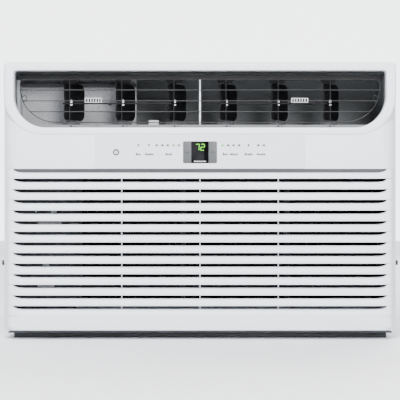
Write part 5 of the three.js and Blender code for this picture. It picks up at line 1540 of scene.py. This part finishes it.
# ------------------------------------------------------------------ sleeve
@dataclass
class Sleeve:
    """The painted outer sleeve with its hooded vents, its floor and the rails that it stands on."""

    half: float = 0.3320
    front: float = -0.2605
    back: float = 0.3365
    low: float = 0.0103
    high: float = 0.4685
    wall: float = 0.0015
    vent_rows: int = 10
    vent_pitch: float = 0.025
    vent_top: float = 0.3985
    vents: tuple[tuple[float, float], ...] = ((0.1905, 0.2745), (0.0925, 0.1765))

    def wrap(self) -> None:
        """Makes the wrap: a bent sheet with beads, hooded vents and screws."""
        outer = Bench.cuboid(
            "sleeve_sheet", (-self.half, self.front, self.low), (self.half, self.back, self.high)
        )
        Bench.bevel(outer, along(Axis.Y, lambda co: co.z > self.high - 0.001), 0.006, 6)
        w = self.wall
        inner = Bench.cuboid(
            "inner", (-self.half + w, self.front - 0.01, self.low - 0.01),
            (self.half - w, self.back + 0.01, self.high - w)
        )
        Bench.bevel(inner, along(Axis.Y, lambda co: co.z > self.high - 0.01), 0.0045, 6)
        Bench.boolean(outer, inner)
        slots = []
        for row in range(self.vent_rows):
            z = self.vent_top - row * self.vent_pitch
            for y0, y1 in self.vents:
                slots.append(Bench.cuboid("vent", (-0.34, y0, z - 0.003), (0.34, y1, z + 0.003)))
        Bench.boolean(outer, Bench.join("vents", slots))
        Bench.finish(outer, CABINET_PAINT, Body.SLEEVE, ["sleeve_wrap"])
        self.hoods()
        beads = []
        for x in (-0.22, -0.11, 0.0, 0.11, 0.22):
            bead = Bench.cuboid(
                "bead", (x - 0.006, -0.215, self.high - 0.0004), (x + 0.006, 0.290, self.high + 0.0010)
            )
            Bench.bevel(bead, along(Axis.Z), 0.0058, 6)
            Bench.soften(bead, 0.0006, 2)
            beads.append(bead)
        for side in (-1, 1):
            for z in (0.090, 0.430):
                x = side * self.half
                bead = Bench.cuboid(
                    "bead", (min(x, x + side * 0.0012), -0.215, z - 0.005),
                    (max(x, x + side * 0.0012), 0.290, z + 0.005)
                )
                Bench.bevel(bead, along(Axis.X), 0.0048, 6)
                beads.append(bead)
        Bench.finish(Bench.join("sleeve_beads", beads), CABINET_PAINT, Body.SLEEVE)
        screws = []
        for y in (-0.235, 0.020, 0.318):
            for side in (-1, 1):
                screws.append(
                    Bench.drum("screw", (side * (self.half + 0.0006), y, 0.034), 0.0042, 0.0022, Axis.X, 24)
                )
        for x in (-0.26, 0.0, 0.26):
            screws.append(Bench.drum("screw", (x, -0.235, self.high + 0.0004), 0.0042, 0.0020, Axis.Z, 24))
            screws.append(Bench.drum("screw", (x, 0.318, self.high + 0.0004), 0.0042, 0.0020, Axis.Z, 24))
        Bench.finish(Bench.soften(Bench.join("sleeve_screws", screws), 0.0008, 3), SCREW_BLACK, Body.SLEEVE)

    def hoods(self) -> None:
        """Makes the pressed hood over each vent, open downwards."""
        y0, y1 = self.vents[0]
        hood = Bench.cuboid("hood", (-0.0002, y0 - 0.002, -0.0035), (0.0036, y1 + 0.002, 0.0062))
        Bench.pick(hood, Kind.EDGE, along(Axis.Y, lambda co: co.x > 0.003 and co.z > 0.005))
        bpy.ops.mesh.bevel(offset=0.0034, segments=5, affect="EDGES", clamp_overlap=True)
        Bench.done()
        Bench.bevel(hood, along(Axis.Z, lambda co: co.x > 0.003), 0.0030, 4)
        Bench.pick(hood, Kind.FACE, lambda _co, normal: normal.z < -0.9 or normal.x < -0.9)
        bpy.ops.mesh.delete(type="FACE")
        Bench.done()
        Bench.apply(hood, "SOLIDIFY", thickness=0.0006, offset=-1)
        mirrored = Bench.copies(hood, [(0, 0, 0)])[0]
        mirrored.data.transform(Matrix.Scale(-1, 4, (1, 0, 0)))
        Bench.outward(mirrored)
        made = []
        for side, source in ((1, hood), (-1, mirrored)):
            moves = []
            for row in range(self.vent_rows):
                for start, _end in self.vents:
                    moves.append((side * self.half, start - y0, self.vent_top - row * self.vent_pitch))
            made += Bench.copies(source, moves)
            bpy.data.objects.remove(source, do_unlink=True)
        Bench.finish(Bench.join("sleeve_hoods", made), CABINET_PAINT, Body.SLEEVE, angle=40)

    def base(self) -> None:
        """Makes the floor sheet with its front lip, and the two rails."""
        # The floor and its lip take the cabinet paint darkened as painted shade.
        floor = Bench.cuboid("sleeve_floor", (-self.half, -0.2900, 0.0084), (self.half, self.back, 0.0101))
        lip = Bench.cuboid("lip", (-self.half, -0.2900, 0.0084), (self.half, -0.2884, 0.0118))
        hem = Bench.cuboid("hem", (-self.half, self.back - 0.0016, 0.0084), (self.half, self.back, 0.0118))
        floor = Bench.soften(Bench.join("sleeve_floor", [floor, lip, hem]), 0.0003, 1)
        Bench.finish(floor, BASE_SHADE_PAINT, Body.SLEEVE, ["sleeve_base"])
        for name, y in (("base_rail_front", -0.2885), ("base_rail_rear", 0.3005)):
            rail = Bench.cuboid(name, (-0.3225, y, 0), (0.3225, y + 0.020, 0.008))
            Bench.boolean(rail, Bench.cuboid("inside", (-0.33, y + 0.002, 0.002), (0.33, y + 0.018, 0.0064)))
            Bench.soften(rail, 0.0005, 2)
            Bench.finish(rail, RAIL_PAINT, Body.SLEEVE, [name])

    def build(self) -> None:
        """Builds the sleeve."""
        self.wrap()
        self.base()


# ------------------------------------------------------------------ inside
@dataclass
class Coil:
    """A finned coil: a stack of thin fins, tube rows, hairpin bends and two end plates."""

    name: str
    node: str
    lo: Point
    hi: Point
    fins: int
    columns: int

    def build(self) -> None:
        """Builds the fins, the end plates and the tubes with their return bends."""
        (x0, y0, z0), (x1, y1, z1) = self.lo, self.hi
        end = 0.020
        pitch = (x1 - x0 - 2 * end) / self.fins
        lo, hi = (x0 + end, y0 + 0.001, z0 + 0.002), (x0 + end + pitch * 0.28, y1 - 0.001, z1 - 0.002)
        fin = Bench.cuboid("fin", lo, hi)
        row = Bench.copies(fin, [(index * pitch, 0, 0) for index in range(1, self.fins)])
        stack = Bench.join(self.name + "_fins", [fin, *row])
        Bench.finish(stack, FIN_METAL, Body.CHASSIS, [self.node])
        # A dark box inside the fins: painted shade deep in the coil between the fins.
        lo, hi = (x0 + end, y0 + 0.008, z0 + 0.004), (x1 - end, y1 - 0.008, z1 - 0.004)
        core = Bench.cuboid(self.name + "_core", lo, hi)
        Bench.finish(core, CORE_SHADE, Body.CHASSIS)
        plates = []
        for x in (x0 + end - 0.0015, x1 - end):
            plates.append(Bench.cuboid("plate", (x, y0, z0), (x + 0.0015, y1, z1)))
        Bench.finish(Bench.join(self.name + "_end_plates", plates), ZINC, Body.CHASSIS)
        tubes = []
        rows = int((z1 - z0 - 0.03) / 0.025)
        for column in range(self.columns):
            y = y0 + (column + 0.5) * (y1 - y0) / self.columns
            for index in range(rows):
                z = z0 + 0.014 + index * 0.025
                if z + 0.025 > z1 - 0.006:
                    continue
                root, tip = ((x1 - end, x1 - 0.004), (x0 + end, x0 + 0.004))[index % 2]
                hairpin = [(root, y, z), (tip, y, z), (tip, y, z + 0.025), (root, y, z + 0.025)]
                tubes.append(Bench.wire("bend", hairpin, 0.0042, 0.012, sides=10))
        Bench.finish(Bench.join(self.name + "_bends", tubes), COPPER, Body.CHASSIS)


@dataclass
class RearGuard:
    """The welded wire guard over the condenser."""

    half: float = 0.3132
    low: float = 0.0463
    high: float = 0.4497
    plane: float = 0.3315
    radius: float = 0.0011
    rows: int = 16
    bays: int = 6

    def build(self) -> None:
        """Bends the frame and welds the wires across it."""
        y, r = self.plane, self.radius
        frame_wire = [
            (-self.half, y, self.low), (self.half, y, self.low), (self.half, y, self.high),
            (-self.half, y, self.high)
        ]
        pieces = [Bench.wire("frame", frame_wire, r * 1.3, 0.008, closed=True)]
        bar = Bench.wire("bar", [(-self.half, y - r, self.low), (self.half, y - r, self.low)], r)
        rise = (self.high - self.low) / self.rows
        pieces += [bar, *Bench.copies(bar, [(0, 0, rise * step) for step in range(1, self.rows)])]
        behind = y + r * 0.4
        post = Bench.wire("post", [(-self.half, behind, self.low), (-self.half, behind, self.high)], r)
        width = 2 * self.half / self.bays
        pieces += [post, *Bench.copies(post, [(width * step, 0, 0) for step in range(1, self.bays)])]
        Bench.finish(Bench.join("condenser_guard", pieces), GUARD_PAINT, Body.CHASSIS, ["rear_guard"], 60)


@dataclass
class Refrigeration:
    """The compressor, its accumulator and the copper tubes between the coils."""

    x: float = -0.2265
    y: float = 0.0922
    radius: float = 0.070
    low: float = 0.0362
    high: float = 0.2861

    def compressor(self) -> None:
        """Makes the welded shell with its band, terminal cover and data plate."""
        r, middle = self.radius, (self.low + self.high) / 2
        half = (self.high - self.low) / 2
        profile = [(0.0, -half)]
        for step in range(1, 13):
            angle = math.radians(-90 + 90 * step / 12)
            profile.append((r * 0.985 * math.cos(angle), -half + 0.035 + 0.035 * math.sin(angle)))
        profile += [(r * 0.985, 0.028), (r, 0.030), (r, 0.040), (r * 0.985, 0.042)]
        for step in range(0, 12):
            angle = math.radians(90 * step / 12)
            profile.append((r * 0.985 * math.cos(angle), half - 0.035 + 0.035 * math.sin(angle)))
        profile.append((0.0, half))
        shell = Bench.spun("compressor_shell", profile, (self.x, self.y, middle), Axis.Z, 64)
        Bench.finish(shell, BLACK_ENAMEL, Body.CHASSIS, ["compressor"])
        cover = Bench.cuboid(
            "terminal_cover", (self.x - 0.022, self.y - r - 0.010, 0.150),
            (self.x + 0.022, self.y - r + 0.012, 0.205)
        )
        Bench.soften(cover, 0.005, 4)
        Bench.finish(cover, DARK_PLASTIC, Body.CHASSIS)
        label = Bench.spun(
            "data_plate", [(r * 0.99, -0.018), (r * 0.998, -0.018), (r * 0.998, 0.018), (r * 0.99, 0.018)],
            (self.x, self.y, 0.110), Axis.Z, 72
        )
        half_space = Bench.cuboid(
            "cut", (self.x - 0.2, self.y - 0.2, 0.05), (self.x + 0.030, self.y + 0.2, 0.17)
        )
        Bench.boolean(label, half_space)
        Bench.finish(label, CAN_METAL, Body.CHASSIS)

    def tubes(self) -> None:
        """Bends the suction, discharge and capillary tubes and makes the drier and accumulator."""
        suction = [
            (-0.2000, -0.2195, 0.3120), (-0.2110, -0.2195, 0.3120), (-0.2110, self.y, 0.3120),
            (-0.1305, self.y, 0.3120), (-0.1305, self.y, 0.2364),
        ]
        discharge = [
            (self.x, self.y, 0.2846), (self.x, self.y, 0.3221), (-0.3125, self.y, 0.3221),
            (-0.3125, 0.3083, 0.3221), (-0.3010, 0.3083, 0.3221),
        ]
        capillary = [(-0.2004, -0.2195, 0.0470), (-0.3125, -0.2195, 0.0470), (-0.3125, 0.1561, 0.0470)]
        for name, points, radius, bend, sides in (
            ("suction", suction, 0.0048, 0.018, 16),
            ("discharge", discharge, 0.0042, 0.016, 16),
            ("capillary", capillary, 0.0016, 0.012, 12),
        ):
            line = Bench.wire(name + "_line", points, radius, bend, sides=sides)
            Bench.finish(line, COPPER, Body.CHASSIS, [name + "_tube"])
        drier = [
            (0, 0), (0.0030, 0), (0.0036, 0.006), (0.0088, 0.012), (0.0090, 0.020), (0.0090, 0.070),
            (0.0088, 0.078), (0.0036, 0.084), (0.0030, 0.090), (0, 0.090)
        ]
        drier_can = Bench.spun("drier_can", drier, (-0.3125, 0.1565, 0.0470), Axis.Y, 36)
        Bench.finish(drier_can, COPPER, Body.CHASSIS, ["filter_drier"])
        can = [
            (0, 0), (0.006, 0), (0.012, 0.002), (0.0185, 0.010), (0.0200, 0.018), (0.0200, 0.112),
            (0.0185, 0.120), (0.012, 0.128), (0.006, 0.130), (0, 0.130)
        ]
        accumulator = Bench.spun("accumulator_can", can, (-0.1305, self.y, 0.1062), Axis.Z, 40)
        Bench.finish(accumulator, BLACK_ENAMEL, Body.CHASSIS, ["accumulator"])
        strap = Bench.spun(
            "accumulator_strap", [(0.0200, 0), (0.0208, 0), (0.0208, 0.010), (0.0200, 0.010)],
            (-0.1305, self.y, 0.1650), Axis.Z, 40
        )
        Bench.finish(strap, ZINC, Body.CHASSIS)

    def build(self) -> None:
        """Builds the refrigeration pieces between the coils."""
        self.compressor()
        self.tubes()


@dataclass
class AirMovers:
    """The motor, the condenser fan with twisted blades and the blower wheel on one shaft."""

    x: float = 0.040
    z: float = 0.2005
    fan_radius: float = 0.1575
    blades: int = 5
    vanes: int = 36

    def motor(self) -> None:
        """Makes the motor's slotted can with its band, and its shaft."""
        profile = [
            (0.0, 0.0), (0.040, 0.0), (0.052, 0.004), (0.058, 0.010), (0.0595, 0.018), (0.0595, 0.040),
            (0.062, 0.042), (0.062, 0.068), (0.0595, 0.070), (0.0595, 0.092), (0.058, 0.100),
            (0.052, 0.106), (0.040, 0.110), (0.0, 0.110)
        ]
        can = Bench.spun("motor_can", profile, (self.x, -0.0489, self.z), Axis.Y, 56)
        Bench.boolean(can, Bench.drum("bore", (self.x, 0, self.z), 0.0075, 0.4, Axis.Y, 32))
        slots = []
        for step in range(12):
            slot = Bench.cuboid(
                "slot", (self.x - 0.0015, -0.06, self.z + 0.044), (self.x + 0.0015, -0.035, self.z + 0.07)
            )
            Bench.turn(slot, step * 30, Axis.Y, (self.x, 0, self.z))
            slots.append(slot)
        Bench.boolean(can, Bench.join("slots", slots))
        Bench.finish(can, BLACK_ENAMEL_MOTOR, Body.CHASSIS, ["motor_body"])
        shaft = Bench.spun(
            "fan_shaft",
            [(0, 0), (0.0055, 0), (0.0063, 0.0010), (0.0063, 0.3985), (0.0055, 0.3995), (0, 0.3995)],
            (self.x, -0.1270, self.z), Axis.Y, 40
        )
        Bench.finish(shaft, SHAFT_STEEL, Body.FAN, ["motor_shaft"])

    def condenser_fan(self) -> None:
        """Makes the hub, the five pitched blades and the slinger ring that throws up the water."""
        y = 0.2602
        profile = [
            (0.0066, -0.0105), (0.026, -0.0105), (0.034, -0.0060), (0.036, 0.0), (0.036, 0.0085),
            (0.033, 0.0105), (0.0066, 0.0105)
        ]
        hub = Bench.spun("hub", profile, (self.x, y, self.z), Axis.Y, 48)
        Bench.clear()
        bpy.ops.mesh.primitive_grid_add(x_subdivisions=14, y_subdivisions=10, size=1, location=(0, 0, 0))
        blade = Bench.settle("blade")
        for vertex in blade.data.vertices:
            along, across = vertex.co.x + 0.5, vertex.co.y
            radius = 0.034 + along * (self.fan_radius - 0.0385)
            chord = 0.055 + 0.045 * math.sin(along * 2.2)
            pitch = math.radians(20 - 9 * along)
            sweep = 0.012 * along**2
            side = across * chord + sweep
            angle = side * math.cos(pitch) / radius
            lift = max(-0.0095, min(0.0095, -side * math.sin(pitch) + 0.0030 * (1 - 4 * across**2)))
            vertex.co = (self.x + radius * math.sin(angle), y + lift, self.z + radius * math.cos(angle))
        Bench.apply(blade, "SOLIDIFY", thickness=0.0018, offset=0)
        blades = Bench.around(blade, self.blades, (self.x, 0, self.z))
        r = self.fan_radius
        slinger = Bench.spun(
            "slinger",
            [(r - 0.0035, -0.006), (r, -0.006), (r + 0.0005, 0.0), (r, 0.006), (r - 0.0035, 0.006)],
            (self.x, y, self.z), Axis.Y, 72
        )
        wheel = Bench.join("condenser_fan_wheel", [hub, *blades, slinger])
        Bench.finish(wheel, FAN_PLASTIC, Body.FAN, ["condenser_fan"], 40)

    def blower(self) -> None:
        """Makes the blower wheel: a back plate, two rings and a cage of curved vanes."""
        back = Bench.spun(
            "plate",
            [
                (0.0066, 0.0), (0.1268, 0.0), (0.1268, 0.0024), (0.030, 0.0024), (0.022, 0.020),
                (0.0066, 0.020)
            ],
            (self.x, -0.0682, self.z), Axis.Y, 64
        )
        rings = []
        for y in (-0.1882, -0.1280):
            profile = [(0.1150, 0.0), (0.1268, 0.0), (0.1268, 0.0024), (0.1150, 0.0024)]
            rings.append(Bench.spun("ring", profile, (self.x, y, self.z), Axis.Y, 64))
        vane = Bench.cuboid(
            "vane", (self.x - 0.0006, -0.1880, self.z + 0.1005), (self.x + 0.0006, -0.0662, self.z + 0.1255)
        )
        Bench.pick(vane, Kind.EDGE, along(Axis.Z))
        bpy.ops.mesh.subdivide(number_cuts=4)
        Bench.done()
        for vertex in vane.data.vertices:
            share = (vertex.co.z - self.z - 0.1005) / 0.025
            vertex.co.x += 0.0100 * share**2
        Bench.turn(vane, -2, Axis.Y, (self.x, 0, self.z))
        vanes = Bench.around(vane, self.vanes, (self.x, 0, self.z))
        wheel = Bench.join("blower_cage", [back, *rings, *vanes])
        Bench.finish(wheel, FAN_PLASTIC, Body.FAN, ["blower_wheel"], 40)

    def build(self) -> None:
        """Builds all that turns and what turns it."""
        self.motor()
        self.condenser_fan()
        self.blower()


@dataclass
class Dressing:
    """Finishes for the frame's own nodes that are shown as they are."""

    looks: dict[str, Finish] = field(default_factory=lambda: {
        "base_pan": ZINC, "bulkhead": ZINC, "compressor_plate": ZINC, "control_box": ZINC,
        "motor_bracket": ZINC, "drain_pan": TRAY_FOAM, "scroll_housing": DARK_PLASTIC, "fan_shroud": DARK_PLASTIC,
        "run_capacitor": CAN_METAL, "control_board": BOARD,
    })

    def build(self) -> None:
        """Gives each node its finish."""
        for name, finish in self.looks.items():
            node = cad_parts[name]
            for slot in node.material_slots:
                slot.material = finish.material()
            log.info("%s: finished as it is", name)


# ------------------------------------------------------------------ studio
@dataclass
class Studio:
    """The floor, the backdrop, the lamps and the camera."""

    lamps: tuple[tuple[str, Point, float, float], ...] = (
        ("key_lamp", (-0.3, -2.3, 2.4), 0.9, 205),
        ("fill_lamp", (0.7, -3.4, 1.1), 0.8, 78),
        ("top_lamp", (0.0, 0.9, 2.6), 2.2, 14),
        ("rear_lamp", (1.4, 2.8, 1.9), 1.6, 75),
        ("side_lamp", (-2.4, 1.2, 2.4), 1.2, 45),
    )
    aim: Point = (0, 0, 0.24)
    eye: Point = (0, -2.9365, 0.2383)
    sensor: float = 36
    lens: float = 137.6

    def build(self) -> None:
        """Sets up the stage around the object."""
        Bench.clear()
        bpy.ops.mesh.primitive_plane_add(size=60, location=(0, 0, 0))
        floor = Bench.settle("floor")
        floor.data.materials.append(Finish("pale_floor", "", (0.80, 0.81, 0.83), 0.6, cloud=0.01).material())
        Bench.clear()
        bpy.ops.mesh.primitive_plane_add(size=1, location=(0, 6.0, 4.0), rotation=(math.pi / 2, 0, 0))
        bpy.context.object.scale = (18, 8, 1)
        backdrop = Bench.settle("backdrop")
        backdrop.data.materials.append(
            GlowMark("bright_paper", "", (0.95, 0.97, 1.0), 0.9, glow=3.2).material()
        )
        world = bpy.data.worlds.new("soft_room")
        bpy.context.scene.world = world
        world.use_nodes = True
        world.node_tree.nodes["Background"].inputs["Color"].default_value = (0.93, 0.95, 1.0, 1)
        world.node_tree.nodes["Background"].inputs["Strength"].default_value = 0.30
        for lamp in self.lamps:
            self.lamp(*lamp)
        self.camera()

    def lamp(self, name: str, place: Point, size: float, power: float) -> None:
        """Adds a square soft lamp that looks at the object's middle."""
        Bench.clear()
        bpy.ops.object.light_add(type="AREA", location=place)
        lamp = bpy.context.object
        lamp.name = name
        lamp.data.size = size
        lamp.data.energy = power
        lamp.rotation_euler = (Vector(self.aim) - Vector(place)).to_track_quat("-Z", "Y").to_euler()

    def camera(self) -> None:
        """Adds the camera, level with the object's middle and square to its front."""
        Bench.clear()
        bpy.ops.object.camera_add(location=self.eye, rotation=(math.pi / 2, 0, 0))
        camera = bpy.context.object
        camera.name = "camera"
        camera.data.sensor_width = self.sensor
        camera.data.lens = self.lens
        bpy.context.scene.camera = camera


def main() -> None:
    """Builds the pieces and the stage."""
    logging.basicConfig(level=logging.INFO, format="%(message)s")
    FrontPanel().build()
    Keypad().build()
    Louvres().build()
    WireGuard().build()
    OutletDuct().build()
    IntakeBay().build()
    Sleeve().build()
    Coil(
        "evaporator", "evaporator_coil", (-0.2000, -0.2395, 0.0400), (0.3245, -0.1995, 0.3300), 210, 2
    ).build()
    Coil("condenser", "condenser_coil", (-0.3005, 0.2885, 0.0334), (0.3245, 0.3281, 0.4510), 250, 2).build()
    RearGuard().build()
    Refrigeration().build()
    AirMovers().build()
    Dressing().build()
    Studio().build()


if __name__ == "__main__":
    main()
